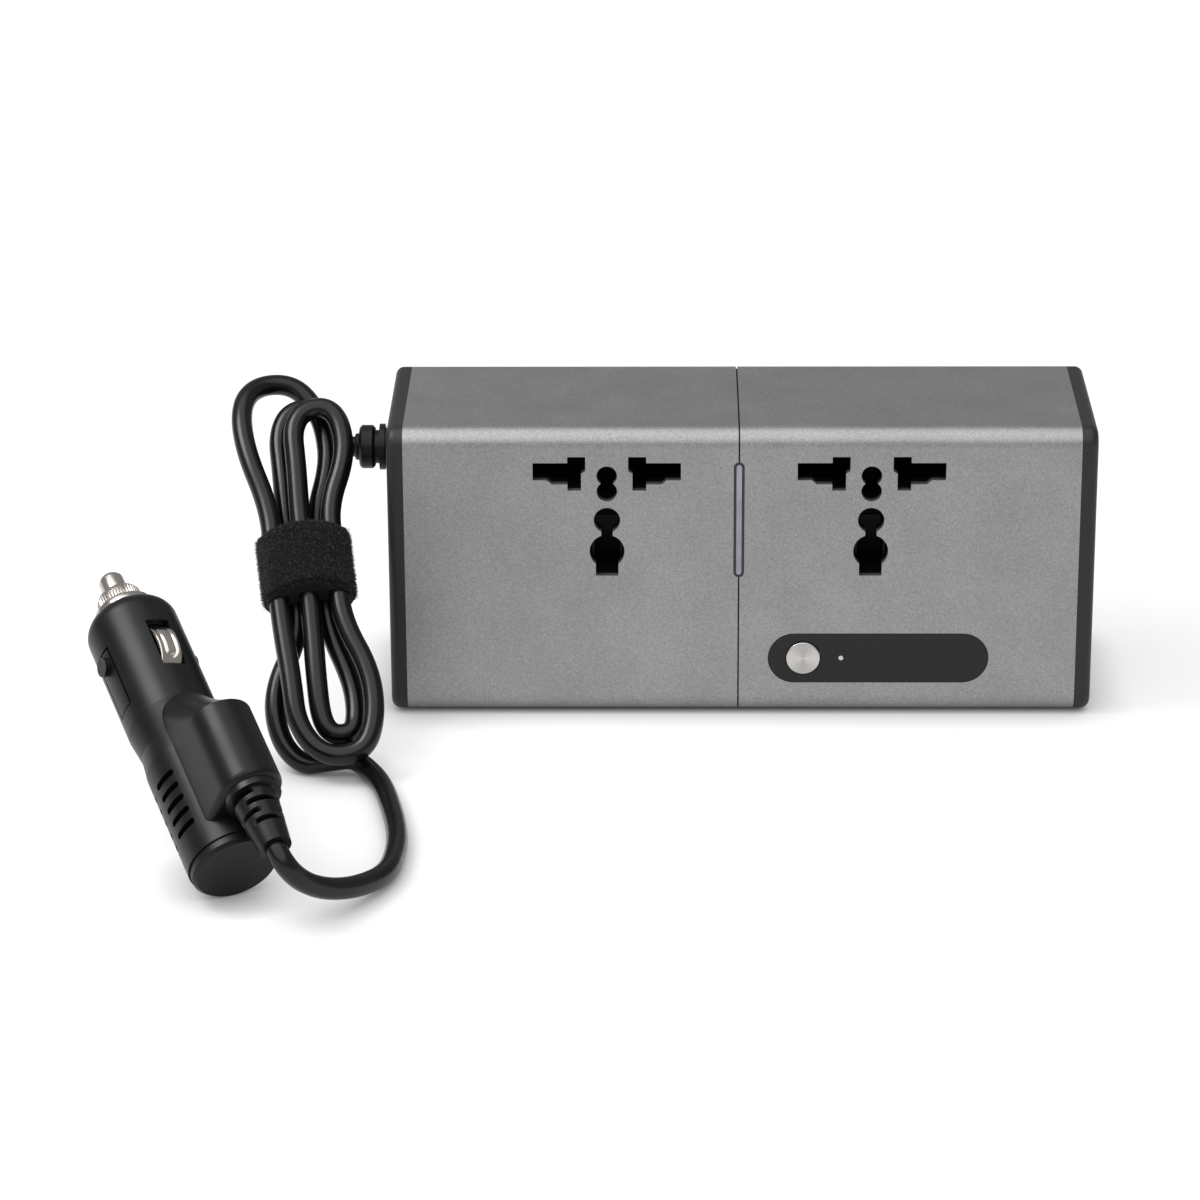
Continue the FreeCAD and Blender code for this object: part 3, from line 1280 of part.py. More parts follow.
end_disc = revolve("plug_cap", (
    ("0", "0"),
    ("cap_disc_radius - cap_rim_chamfer", "0"),
    ("cap_disc_radius", "cap_rim_chamfer"),
    ("cap_disc_radius", "cap_disc_thickness"),
    ("rear_radius - plug_wall - fit_gap", "cap_disc_thickness"),
    ("rear_radius - plug_wall - fit_gap", "cap_disc_thickness + 3"),
    ("rear_radius - plug_wall - 1.6", "cap_disc_thickness + 3"),
    ("rear_radius - plug_wall - 1.6", "cap_disc_thickness"),
    ("0", "cap_disc_thickness"),
))
keep_on_plug("plug_end_cap", end_disc)

nose = revolve("nose", (
    ("nose_bore", "shoulder_from"),
    ("nose_skirt_radius", "shoulder_from"),
    ("nose_skirt_radius", "nose_at"),
    ("nose_flange_radius", "nose_at"),
    ("nose_flange_radius", "nose_at + nose_flange - 0.4"),
    ("nose_flange_radius - 0.4", "nose_at + nose_flange"),
    ("nose_radius", "nose_at + nose_flange"),
    ("nose_radius", "nose_at + nose_length - 0.5"),
    ("nose_radius - 0.5", "nose_at + nose_length"),
    ("pin_radius + 0.1", "nose_at + nose_length"),
    ("pin_radius + 0.1", "nose_at + nose_length - 2.4"),
    ("nose_bore", "nose_at + nose_length - 2.4"),
))
keep_on_plug("plug_nose_cap", nose)

PIN_SHELF = "nose_at + nose_length - 2.4 - 0.2"
FUSE_TOP = "%s - 3.6" % PIN_SHELF
FUSE_LOW = "%s - fuse_length" % FUSE_TOP
SPRING_LOW = "neck_at - 7"
pin = revolve("pin", (
    ("0", FUSE_TOP),
    ("nose_bore - running_gap", FUSE_TOP),
    ("nose_bore - running_gap", PIN_SHELF),
    ("pin_radius", PIN_SHELF),
    ("pin_radius", "nose_at + nose_length + pin_length - 1.2"),
    ("pin_radius - 0.4", "nose_at + nose_length + pin_length - 0.4"),
    ("pin_radius - 1.2", "nose_at + nose_length + pin_length"),
    ("0", "nose_at + nose_length + pin_length"),
))
keep_on_plug("tip_pin", pin)
keep_on_plug("plug_fuse", group("plug_fuse", [
    rod("fuse_tube", "fuse_radius", "fuse_length", ("0", "0", FUSE_LOW)),
]))

holder_outer = rod("holder_outer", "fuse_radius + 1.4", "shoulder_from + 0.6 - (%s)" % SPRING_LOW,
                   ("0", "0", "%s - 1.6" % SPRING_LOW))
holder_bore = rod("holder_bore", "fuse_radius + running_gap", "60", ("0", "0", SPRING_LOW))
holder_plate = rod("holder_plate", "neck_radius - plug_wall - fit_gap", "1.6", ("0", "0", "neck_at - 0.8"))
keep_on_plug("fuse_holder", cut("fuse_holder", fuse("holder_blank", holder_outer, holder_plate), holder_bore))


def spring_shape(radius, wire, length, coils):
    """A round-wire spring along Z, as one tube on arcs of under a quarter turn."""
    rise = (length - wire) / coils / 4
    slope = rise / (math.pi / 2 * radius)
    stations = []
    for step in range(4 * coils + 1):
        angle = math.pi / 2 * step
        spot = V(radius * math.cos(angle), radius * math.sin(angle), wire / 2 + rise * step)
        heading = V(-math.sin(angle), math.cos(angle), slope)
        stations.append((spot, heading.normalize()))
    edges = []
    for (spot, heading), (following, arriving) in zip(stations, stations[1:]):
        edges += biarc(spot, heading, following, arriving)
    return round_tube(edges, wire)[1]


spring_length = size(FUSE_LOW) - size(SPRING_LOW) - 2 * size("fit_gap")
spring = solid_piece("spring", spring_shape(size("spring_radius"), size("spring_wire"), spring_length, 5),
                     FreeCAD.Placement(V(0, 0, size(SPRING_LOW) + size("fit_gap")), FreeCAD.Rotation()))
keep_on_plug("tip_spring", spring)


def clip_shape(hand):
    """A bowed contact leaf that looks out of its window, with its feet under the wall."""
    middle = size("window_middle")
    bow = size("barrel_radius + clip_proud")
    foot = size("sqrt((barrel_radius - plug_wall) ^ 2 - (clip_width / 2) ^ 2) - fit_gap")
    rise = size("window_length / 2 - 0.6")
    reach = size("window_length / 2 + clip_foot")
    thick = size("clip_thickness")
    outer_line = [V(foot, 0, middle + z) for z in (-reach, -rise, rise, reach)]
    inner_line = [V(foot - thick, 0, middle + z) for z in (-reach, thick / 2 - rise, rise - thick / 2, reach)]
    edges = [
        Part.LineSegment(outer_line[0], outer_line[1]).toShape(),
        Part.Arc(outer_line[1], V(bow, 0, middle), outer_line[2]).toShape(),
        Part.LineSegment(outer_line[2], outer_line[3]).toShape(),
        Part.LineSegment(outer_line[3], inner_line[3]).toShape(),
        Part.LineSegment(inner_line[3], inner_line[2]).toShape(),
        Part.Arc(inner_line[2], V(bow - thick, 0, middle), inner_line[1]).toShape(),
        Part.LineSegment(inner_line[1], inner_line[0]).toShape(),
        Part.LineSegment(inner_line[0], outer_line[0]).toShape(),
    ]
    face = Part.Face(Part.Wire(edges))
    width = size("clip_width")
    leaf = face.extrude(V(0, width, 0))
    leaf.translate(V(0, -width / 2, 0))
    if hand < 0:
        leaf.rotate(V(0, 0, 0), V(0, 0, 1), 180)
    return leaf


for name, hand in (("side_contact_upper", 1), ("side_contact_lower", -1)):
    keep_on_plug(name, solid_piece(name, clip_shape(hand)))

for name, hand in (("latch_tab_front", -1), ("latch_tab_rear", 1)):
    wall = rod(name + "_wall", "barrel_radius", "tab_length", ("0", "0", "tab_root"))
    room = rod(name + "_room", "barrel_radius - plug_wall", "tab_length + 2", ("0", "0", "tab_root - 1"))
    y = ("0", "barrel_radius + 2") if hand > 0 else ("-barrel_radius - 2", "0")
    strip = block(name + "_strip", ("-tab_width / 2", "tab_width / 2"), y, ("tab_root", "tab_root + tab_length"))
    leaf = common(name + "_leaf", cut(name + "_ring", wall, room), strip)
    stud = rod(name + "_stud", "stud_radius", "plug_wall + stud_proud",
               ("0", "%d * (barrel_radius - plug_wall)" % hand, "stud_at"), "+Y" if hand > 0 else "-Y")
    keep_on_plug(name, fuse(name, leaf, stud))

relief_points = [("0", "-relief_root"), ("relief_radius - 1.0", "-relief_root"),
                 ("relief_radius - 1.0", "0"),
                 ("relief_radius + 1.6", "0"), ("relief_radius + 1.6", "1.6")]
for rib in range(4):
    start = "1.6 + %d * (relief_reach - 5) / 4" % rib
    thin = "relief_radius - 0.5 - %.1f" % (0.15 * rib)
    thick = "relief_radius + 0.9 - %.1f" % (0.2 * rib)
    relief_points += [(thin, start), (thin, "%s + 0.9" % start), (thick, "%s + 1.0" % start),
                      (thick, "%s + 2.3" % start)]
relief_points += [("relief_radius - 1.0", "relief_reach - 3.2"), ("relief_radius - 0.4", "relief_reach - 2.8"),
                  ("relief_radius - 0.4", "relief_reach"), ("0", "relief_reach")]
relief = revolve("relief", relief_points)
relief.Placement = FreeCAD.Placement(V(size("hump_offset"), 0, size("hump_end")), TURNS["-Z"])
keep_on_plug("plug_strain_relief", relief)

# Tail of the cord, from the hank along the table to the plug's strain relief

relief_end = PLUG.multVec(V(size("hump_offset"), 0, size("hump_end - relief_reach")))
relief_heading = PLUG.Rotation.multVec(V(0, 0, -1))
print("relief ends at", relief_end, "heading", relief_heading)


def bent_path(points):
    """Straight runs joined by arcs as large as the runs allow, and the radii of those arcs."""
    edges = []
    radii = []
    start = points[0]
    for before, corner, after in zip(points, points[1:], points[2:]):
        arriving = (corner - before).normalize()
        leaving = (after - corner).normalize()
        half_turn = arriving.getAngle(leaving) / 2
        run = 0.45 * min((corner - before).Length, (after - corner).Length)
        radii.append(run / math.tan(half_turn))
        first = corner - arriving * run
        last = corner + leaving * run
        edges.append(Part.LineSegment(start, first).toShape())
        edges.append(arc_between(first, corner, last))
        start = last
    edges.append(Part.LineSegment(start, points[-1]).toShape())
    return edges, radii


# The tail leaves the hank to the right, turns forward, and comes up round into the relief
TAIL_START = 9.0
TAIL_ROUTE = (
    (-80.6, -70.5, 2.5),
    (-78.6, -85.0, 2.45),
    (-77.5, -97.0, 2.45),
    (-77.8, -110.0, 2.45),
    (-79.6, -125.0, 2.9),
    (-85.0, -137.0, 4.6),
    (-91.5, -144.0, 7.8),
    (-96.5, -147.0, 12.6),
)
tail_points = [hank_end, hank_end + hank_end_heading * TAIL_START]
tail_points += [V(*point) for point in TAIL_ROUTE]
tail_points += [relief_end + relief_heading * 3.8, relief_end]
tail_edges, tail_radii = bent_path(tail_points)
tail_path, tail_solid = round_tube(tail_edges, CORD)
print("tail: %.0f mm of cord, radii" % tail_path.Length, ["%.1f" % radius for radius in tail_radii])
print("tail: volume against section times length %.4f"
      % (tail_solid.Volume / (tail_path.Length * math.pi * CORD * CORD / 4)))
keep("cord_tail", solid_piece("cord_tail", tail_solid))
print("cord: %.0f mm in all" % (hank_path.Length + tail_path.Length))

# Each object is sound before anything is written

doc.recompute()
for item in doc.Objects:
    if "Invalid" in item.State or "Error" in item.State:
        raise RuntimeError("%s failed: %s" % (item.Name, item.State))
for item in nodes:
    if item.Shape.isNull() or not item.Shape.isValid():
        raise RuntimeError("%s has no valid shape" % item.Label)
os.makedirs("parts", exist_ok=True)
for item in nodes:
    item.Shape.exportStep("parts/%s.step" % item.Label)
print("%d pieces written" % len(nodes))
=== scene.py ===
import math
import random

import bmesh
import bpy
from mathutils import Matrix, Vector, noise


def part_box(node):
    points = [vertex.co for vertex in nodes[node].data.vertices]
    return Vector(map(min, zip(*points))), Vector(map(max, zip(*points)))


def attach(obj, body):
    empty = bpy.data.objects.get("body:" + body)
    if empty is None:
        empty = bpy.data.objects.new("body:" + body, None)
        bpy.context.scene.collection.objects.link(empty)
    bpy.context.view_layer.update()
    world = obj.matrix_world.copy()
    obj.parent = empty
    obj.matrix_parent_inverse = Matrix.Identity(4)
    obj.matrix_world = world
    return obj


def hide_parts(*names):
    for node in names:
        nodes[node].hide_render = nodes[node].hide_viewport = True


# Car power inverter with its strapped cord and 12 V plug, as in the photograph.
# Metres. X runs along the body, the front face looks along -Y, and the table is at Z = 0.
# The cord, the strap and the plug's own pieces are given in millimetres, in frames of their own.

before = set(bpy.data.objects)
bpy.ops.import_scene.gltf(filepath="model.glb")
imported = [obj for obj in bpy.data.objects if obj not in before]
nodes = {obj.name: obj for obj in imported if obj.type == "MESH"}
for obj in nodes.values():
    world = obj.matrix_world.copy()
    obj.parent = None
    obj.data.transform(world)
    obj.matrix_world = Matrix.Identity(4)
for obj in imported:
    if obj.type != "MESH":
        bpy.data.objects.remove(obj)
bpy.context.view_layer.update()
BODY = "inverter"
MM = 0.001


def clamp(value, low=0.0, high=1.0):
    return max(low, min(high, value))


# Camera at the photograph's angle

CAMERA_PLACE = (-0.017972, -1.018780, 0.418158)
CAMERA_TILT = 68.6224
CAMERA_SWING = 0.8194
LENS = 135.80
SENSOR = 36.0

camera_data = bpy.data.cameras.new("camera")
camera_data.lens = LENS
camera_data.sensor_width = SENSOR
camera_data.clip_end = 20.0
camera = bpy.data.objects.new("camera", camera_data)
camera.matrix_world = (
    Matrix.Translation(CAMERA_PLACE)
    @ Matrix.Rotation(math.radians(CAMERA_TILT), 4, "X")
    @ Matrix.Rotation(math.radians(CAMERA_SWING), 4, "Y")
)
bpy.context.scene.collection.objects.link(camera)
bpy.context.scene.camera = camera

# Materials. Textures use object coordinates, in metres.

# The range in which nearly all values of a noise lie
NOISE_LOW = 0.3
NOISE_HIGH = 0.7


def new_material(name, colour, roughness, metallic=0.0, specular=0.5):
    material = bpy.data.materials.new(name)
    material.use_nodes = True
    shader = material.node_tree.nodes["Principled BSDF"]
    shader.inputs["Base Color"].default_value = (*colour, 1.0)
    shader.inputs["Roughness"].default_value = roughness
    shader.inputs["Metallic"].default_value = metallic
    shader.inputs["Specular IOR Level"].default_value = specular
    return material


def shader_of(material):
    return material.node_tree.nodes["Principled BSDF"]


def maths(tree, operation, *values):
    """One step of arithmetic on the outputs of nodes or on plain numbers."""
    step = tree.nodes.new("ShaderNodeMath")
    step.operation = operation
    for entry, value in zip(step.inputs, values):
        if isinstance(value, bpy.types.NodeSocket):
            tree.links.new(value, entry)
        else:
            entry.default_value = value
    return step.outputs["Value"]


def coordinates(material, middle=(0.0, 0.0, 0.0)):
    """Object coordinates about a point."""
    tree = material.node_tree
    source = tree.nodes.new("ShaderNodeTexCoord")
    mapping = tree.nodes.new("ShaderNodeMapping")
    mapping.vector_type = "POINT"
    mapping.inputs["Location"].default_value = [-part for part in middle]
    tree.links.new(source.outputs["Object"], mapping.inputs["Vector"])
    return mapping.outputs["Vector"]


def grain(material, size_mm, detail):
    """Noise whose features are about size_mm across."""
    tree = material.node_tree
    texture = tree.nodes.new("ShaderNodeTexNoise")
    texture.inputs["Scale"].default_value = 1.0 / (size_mm * MM)
    texture.inputs["Detail"].default_value = detail
    tree.links.new(coordinates(material), texture.inputs["Vector"])
    return texture.outputs["Fac"]


def blend_of(material, first, second, share):
    """A weighted sum of two values: share of the second one."""
    tree = material.node_tree
    mix = tree.nodes.new("ShaderNodeMix")
    mix.inputs["Factor"].default_value = share
    tree.links.new(first, mix.inputs["A"])
    tree.links.new(second, mix.inputs["B"])
    return mix.outputs["Result"]


def set_colour(material, value, stops):
    """The colour runs through stops of (position, colour) as the value goes from 0 to 1."""
    tree = material.node_tree
    ramp = tree.nodes.new("ShaderNodeValToRGB")
    elements = ramp.color_ramp.elements
    while len(elements) < len(stops):
        elements.new(0.5)
    for element, (position, colour) in zip(elements, stops):
        element.position = position
        element.color = (*colour, 1.0)
    tree.links.new(value, ramp.inputs["Fac"])
    tree.links.new(ramp.outputs["Color"], shader_of(material).inputs["Base Color"])


def set_roughness(material, value, low, high):
    """The roughness goes from low to high with the value of a noise."""
    tree = material.node_tree
    spread = tree.nodes.new("ShaderNodeMapRange")
    spread.inputs["From Min"].default_value = NOISE_LOW
    spread.inputs["From Max"].default_value = NOISE_HIGH
    spread.inputs["To Min"].default_value = low
    spread.inputs["To Max"].default_value = high
    tree.links.new(value, spread.inputs["Value"])
    tree.links.new(spread.outputs["Result"], shader_of(material).inputs["Roughness"])


def set_bump(material, value, depth_mm, strength=1.0):
    tree = material.node_tree
    bump = tree.nodes.new("ShaderNodeBump")
    bump.inputs["Distance"].default_value = depth_mm * MM
    bump.inputs["Strength"].default_value = strength
    tree.links.new(value, bump.inputs["Height"])
    tree.links.new(bump.outputs["Normal"], shader_of(material).inputs["Normal"])


def shade(colour, factor):
    return tuple(min(1.0, part * factor) for part in colour)


def moulded(name, colour, roughness, grain_mm=0.25, depth_mm=0.01, specular=0.5):
    """Moulded plastic with a fine spark-eroded grain and faint cloudiness."""
    material = new_material(name, colour, roughness, specular=specular)
    fine = grain(material, grain_mm, detail=3.0)
    cloudy = grain(material, size_mm=9.0, detail=2.0)
    both = blend_of(material, fine, cloudy, share=0.5)
    set_colour(material, both, [
        (NOISE_LOW, shade(colour, 0.82)),
        (NOISE_HIGH, shade(colour, 1.2)),
    ])
    set_roughness(material, both, roughness - 0.06, roughness + 0.06)
    set_bump(material, fine, depth_mm)
    return material


def metal(name, colour, roughness, grain_mm=0.3, depth_mm=0.004):
    """Plated or drawn metal with faint wear."""
    material = new_material(name, colour, roughness, metallic=1.0)
    wear = grain(material, grain_mm, detail=3.0)
    cloudy = grain(material, size_mm=6.0, detail=2.0)
    both = blend_of(material, wear, cloudy, share=0.6)
    set_colour(material, both, [
        (0.25, shade(colour, 0.86)),
        (0.75, shade(colour, 1.06)),
    ])
    set_roughness(material, both, roughness * 0.75, roughness * 1.3)
    set_bump(material, wear, depth_mm)
    return material


def blasted_metal(name, colour, roughness):
    """Bead-blasted and anodised aluminium: sharp speckle over faint clouds."""
    material = new_material(name, colour, roughness, metallic=0.85)
    speckle = grain(material, size_mm=0.42, detail=5.0)
    cloudy = grain(material, size_mm=14.0, detail=3.0)
    both = blend_of(material, speckle, cloudy, share=0.22)
    set_colour(material, both, [
        (0.33, shade(colour, 0.80)),
        (0.50, colour),
        (0.67, shade(colour, 1.24)),
    ])
    set_roughness(material, both, roughness - 0.05, roughness + 0.05)
    set_bump(material, speckle, depth_mm=0.02, strength=0.6)
    return material


SLEEVE = blasted_metal("blasted sleeve", (0.287, 0.287, 0.288), 0.44)
CAP = moulded("cap plastic", (0.012, 0.012, 0.0125), 0.46, specular=0.35)
DARK = moulded("dark plastic", (0.003, 0.003, 0.0031), 0.6, specular=0.2)
PANEL = moulded("panel plastic", (0.009, 0.009, 0.0092), 0.5, grain_mm=0.2, depth_mm=0.006,
                specular=0.28)
PLUG = moulded("plug plastic", (0.004, 0.004, 0.0043), 0.36, grain_mm=0.2, depth_mm=0.008,
               specular=0.22)
FAN = moulded("fan plastic", (0.018, 0.018, 0.018), 0.45)
RUBBER = moulded("foot rubber", (0.020, 0.020, 0.020), 0.7, grain_mm=0.4, depth_mm=0.02)
LIGHT_RIM = moulded("light rim", (0.012, 0.012, 0.014), 0.35)
# Painted shade: the socket contacts are coloured nearly black for the dark inside of the sockets, not
# the metal's own colour
CONTACT_METAL_PAINTED_SHADE = metal("contact metal painted as shade", (0.030, 0.028, 0.025), 0.45)
CHROME = metal("nickel plate", (0.52, 0.485, 0.45), 0.2)
STEEL = metal("screw steel", (0.30, 0.30, 0.31), 0.34)
BARE = metal("heat sink metal", (0.66, 0.67, 0.68), 0.38, grain_mm=0.5)
CAN = metal("capacitor sleeve", (0.10, 0.12, 0.22), 0.40)
COPPER = metal("enamelled wire", (0.66, 0.30, 0.12), 0.32, grain_mm=0.4)
FERRITE = moulded("ferrite", (0.055, 0.055, 0.060), 0.65, grain_mm=0.6, depth_mm=0.03)
BOARD = moulded("circuit board", (0.012, 0.075, 0.030), 0.35, grain_mm=0.5)
FUSE_GLASS = moulded("fuse glass", (0.62, 0.65, 0.64), 0.12)
CORD = moulded("cord", (0.0025, 0.0025, 0.0026), 0.25, grain_mm=0.15, depth_mm=0.0001,
               specular=0.32)

# Painted highlights on the button: how many light fans are painted into its colour round its axis
PAINTED_HIGHLIGHT_FANS = 2.0
RINGS_A_METRE = 7000.0


def brushed_button():
    """Fine turned lines round the button's axis, and two fans of painted highlight: the colour goes
    lighter and darker with the angle round the axis.
    """
    material = new_material("turned button", (0.62, 0.60, 0.575), 0.30, metallic=1.0)
    low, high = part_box("power_button")
    middle = (low + high) / 2
    tree = material.node_tree
    split = tree.nodes.new("ShaderNodeSeparateXYZ")
    tree.links.new(coordinates(material, middle=tuple(middle)), split.inputs["Vector"])
    flat = tree.nodes.new("ShaderNodeCombineXYZ")
    tree.links.new(split.outputs["X"], flat.inputs["X"])
    tree.links.new(split.outputs["Z"], flat.inputs["Y"])
    radius = tree.nodes.new("ShaderNodeVectorMath")
    radius.operation = "LENGTH"
    tree.links.new(flat.outputs["Vector"], radius.inputs[0])
    rings = tree.nodes.new("ShaderNodeTexNoise")
    rings.noise_dimensions = "1D"
    rings.inputs["Scale"].default_value = RINGS_A_METRE
    rings.inputs["Detail"].default_value = 2.0
    tree.links.new(radius.outputs["Value"], rings.inputs["W"])
    # Painted highlight: the colour goes lighter and darker in fans with the angle round the axis
    angle = maths(tree, "ARCTAN2", split.outputs["Z"], split.outputs["X"])
    painted_fan_wave = maths(tree, "COSINE", maths(tree, "MULTIPLY", angle, PAINTED_HIGHLIGHT_FANS))
    spread = tree.nodes.new("ShaderNodeMapRange")
    spread.inputs["From Min"].default_value = -1.0
    spread.inputs["From Max"].default_value = 1.0
    tree.links.new(painted_fan_wave, spread.inputs["Value"])
    both = blend_of(material, rings.outputs["Fac"], spread.outputs["Result"], share=0.35)
    set_colour(material, both, [
        (0.2, (0.34, 0.33, 0.32)),
        (0.8, (0.62, 0.60, 0.58)),
    ])
    set_bump(material, rings.outputs["Fac"], depth_mm=0.006, strength=0.7)
    tangent = tree.nodes.new("ShaderNodeTangent")
    tangent.direction_type = "RADIAL"
    tangent.axis = "Y"
    shader = shader_of(material)
    shader.inputs["Anisotropic"].default_value = 0.7
    tree.links.new(tangent.outputs["Tangent"], shader.inputs["Tangent"])
    return material


def light_strip():
    """The pale strip of the light bar, with faint clouds."""
    material = new_material("light strip", (0.20, 0.21, 0.24), 0.30)
    cloudy = grain(material, size_mm=7.0, detail=2.0)
    set_colour(material, cloudy, [(NOISE_LOW, (0.16, 0.17, 0.20)), (NOISE_HIGH, (0.27, 0.28, 0.31))])
    fine = grain(material, size_mm=0.3, detail=2.0)
    set_bump(material, fine, depth_mm=0.01)
    return material


BUTTON = brushed_button()
STRIP = light_strip()
LAMP = moulded("lamp lens", (0.50, 0.50, 0.50), 0.2)

NODE_MATERIALS = {
    SLEEVE: ("shell_left", "shell_right"),
    CAP: ("end_cap_left", "end_cap_right"),
    DARK: ("centre_frame", "socket_body_left", "socket_body_right", "socket_back_left",
           "socket_back_right", "switch_plunger", "power_switch", "power_transistors", "fuse_holder"),
    LIGHT_RIM: ("light_bar_bezel",),
    STRIP: ("light_bar_lens",),
    PANEL: ("control_panel",),
    BUTTON: ("power_button",),
    LAMP: ("indicator_lens",),
    CONTACT_METAL_PAINTED_SHADE: ("socket_contacts_left", "socket_contacts_right"),
    BOARD: ("light_board", "control_board", "main_board"),
    FERRITE: ("transformer_core",),
    COPPER: ("transformer_winding", "filter_choke"),
    CAN: ("capacitors",),
    BARE: ("heat_sink",),
    FAN: ("fan_frame", "fan_rotor"),
    STEEL: ("cap_screws", "tip_spring"),
    RUBBER: ("rubber_feet", "plug_strain_relief"),
    PLUG: ("cable_gland", "gland_nut", "plug_shell_front", "plug_shell_rear", "plug_end_cap",
           "latch_tab_front", "latch_tab_rear"),
    CHROME: ("plug_nose_cap", "tip_pin", "side_contact_upper", "side_contact_lower"),
    FUSE_GLASS: ("plug_fuse",),
}
for material, names in NODE_MATERIALS.items():
    for name in names:
        mesh = nodes[name].data
        mesh.materials.clear()
        mesh.materials.append(material)

# Cord: one spline from the gland through the hank and along the table to the plug.
# In the hank's own frame u runs across it, v up along it and w out of its front.

CORD_DIAMETER = 4.9
PITCH = 7.0
LOBE_PITCH = 5.6
REACH = 6.8
TURNS_OF_CORD = 2.5
LAYER_CHANGE = 1.5
LAYER_CHANGE_HALF = 0.2
END_OF_HANK = 0.2
LAYER_AT_WAIST = 2.4
LAYER_AT_ENDS = 3.0
WAIST_HALF = 8.0
WAIST_SHIFT = 0.25
WAIST_TURNS = {-1: 0.25, 1: 0.75}
TOP_LEVEL = 39.5
TOP_MIDDLE = 5.5
TOP_SHIFT = 2.2
TOP_HALF = 4.4
TOP_GROWTH = 1.1
TOP_DROP = 1.45
BOTTOM_LEVEL = 38.6
BOTTOM_MIDDLE = 1.7
BOTTOM_HALF = 3.6
BOTTOM_RISE = 1.25
LAST_SHIFT = Vector((-4.2, -1.6, -0.2))
# Loose loops: how far each bend, by its turn, is drawn from its place in an even hank
LOOSE = {
    0.38: (1.9, -1.0, 0.3),
    0.50: (2.4, -3.0, 0.4),
    0.62: (1.8, -1.9, 0.6),
    0.88: (-0.6, 0.0, 0),
    1.00: (-0.9, 0.0, 0),
    1.12: (-2.3, -0.4, 0),
    1.38: (2.0, -2.0, 0.2),
    1.50: (1.9, -3.6, 0.3),
    1.62: (1.7, -1.8, 0.3),
    1.88: (0.0, 1.0, 0),
    2.00: (0.2, 2.7, 0),
    2.12: (-1.3, 0.8, 0),
}
LEAD_STRAIGHT = 1.2
LEAD_BEND = Vector((9.7, 39.4, -8.5))
LEAD_HEADING = Vector((-0.6, 0.8, 0))
FIRST_TOP = Vector((-2.0, 50.6, -5.0))
FIRST_SIDE = Vector((-11.1, 39.5, 1.0))
GLAND_MOUTH = Vector((-91.8, 0.0, 58.7))
HANK = (
    Matrix.Translation((-101.8691, -30.3993, 38.9546))
    @ Matrix.Rotation(math.radians(46.502), 4, "X")
    @ Matrix.Rotation(math.radians(7.84), 4, "Z")
)
STATIONS = (
    ("top", 0.0, (-1, 0)),
    ("wide_top", 0.12, (0, -1)),
    ("waist_high", 0.22, (0, -1)),
    ("waist_low", 0.28, (0, -1)),
    ("wide_bottom", 0.38, (0, -1)),
    ("bottom", 0.5, (1, 0)),
    ("wide_bottom", 0.62, (0, 1)),
    ("waist_low", 0.72, (0, 1)),
    ("waist_high", 0.78, (0, 1)),
    ("wide_top", 0.88, (0, 1)),
)
SAME_HEADING = 1e-6
# The tail's route on the table, in metres, up to the plug's strain relief
TAIL_START = 3.0
TAIL_END = 3.8
TAIL_ROUTE = (
    (-0.0868, -0.0625, 0.0026),
    (-0.0826, -0.0715, 0.00245),
    (-0.0797, -0.0850, 0.00245),
    (-0.0776, -0.0980, 0.00245),
    (-0.0772, -0.1090, 0.00245),
    (-0.0785, -0.1220, 0.0029),
    (-0.0845, -0.1325, 0.0046),
    (-0.0908, -0.1395, 0.0074),
    (-0.0958, -0.1440, 0.0116),
)


def loop_size(turn):
    """How far out in the spiral the cord is: 0 where it changes layer."""
    return abs(LAYER_CHANGE - turn)


def layer(turn, depth):
    """The front layer before the change, the back layer after it."""
    return depth * clamp((LAYER_CHANGE - turn) / LAYER_CHANGE_HALF, -1.0, 1.0)


def station_point(kind, turn):
    """Where the cord is at one station, in the hank's frame, in millimetres."""
    side = -1 if turn % 1.0 < 0.5 else 1
    if kind.startswith("waist"):
        middle_turn = math.floor(turn) + WAIST_TURNS[side]
        across = PITCH * (side * loop_size(middle_turn) + WAIST_SHIFT)
        height = WAIST_HALF if kind == "waist_high" else -WAIST_HALF
        return Vector((across, height, layer(turn, LAYER_AT_WAIST)))
    depth = layer(turn, LAYER_AT_ENDS)
    if kind.endswith("top"):
        if turn < END_OF_HANK:
            return Vector(FIRST_SIDE)
        front = 1 if turn < LAYER_CHANGE else -1
        bend = Vector((TOP_MIDDLE + front * TOP_SHIFT, TOP_LEVEL, depth))
        half = TOP_HALF + TOP_GROWTH * loop_size(turn)
        rise = -TOP_DROP * half
    else:
        bend = Vector((BOTTOM_MIDDLE, -BOTTOM_LEVEL - REACH * loop_size(turn), depth))
        if turn > TURNS_OF_CORD - END_OF_HANK:
            bend += LAST_SHIFT
        half = BOTTOM_HALF + LOBE_PITCH * loop_size(turn)
        rise = BOTTOM_RISE * half
    if kind.startswith("wide"):
        bend += Vector((side * half, rise, 0))
    return bend + Vector(LOOSE.get(round(turn, 2), (0, 0, 0)))


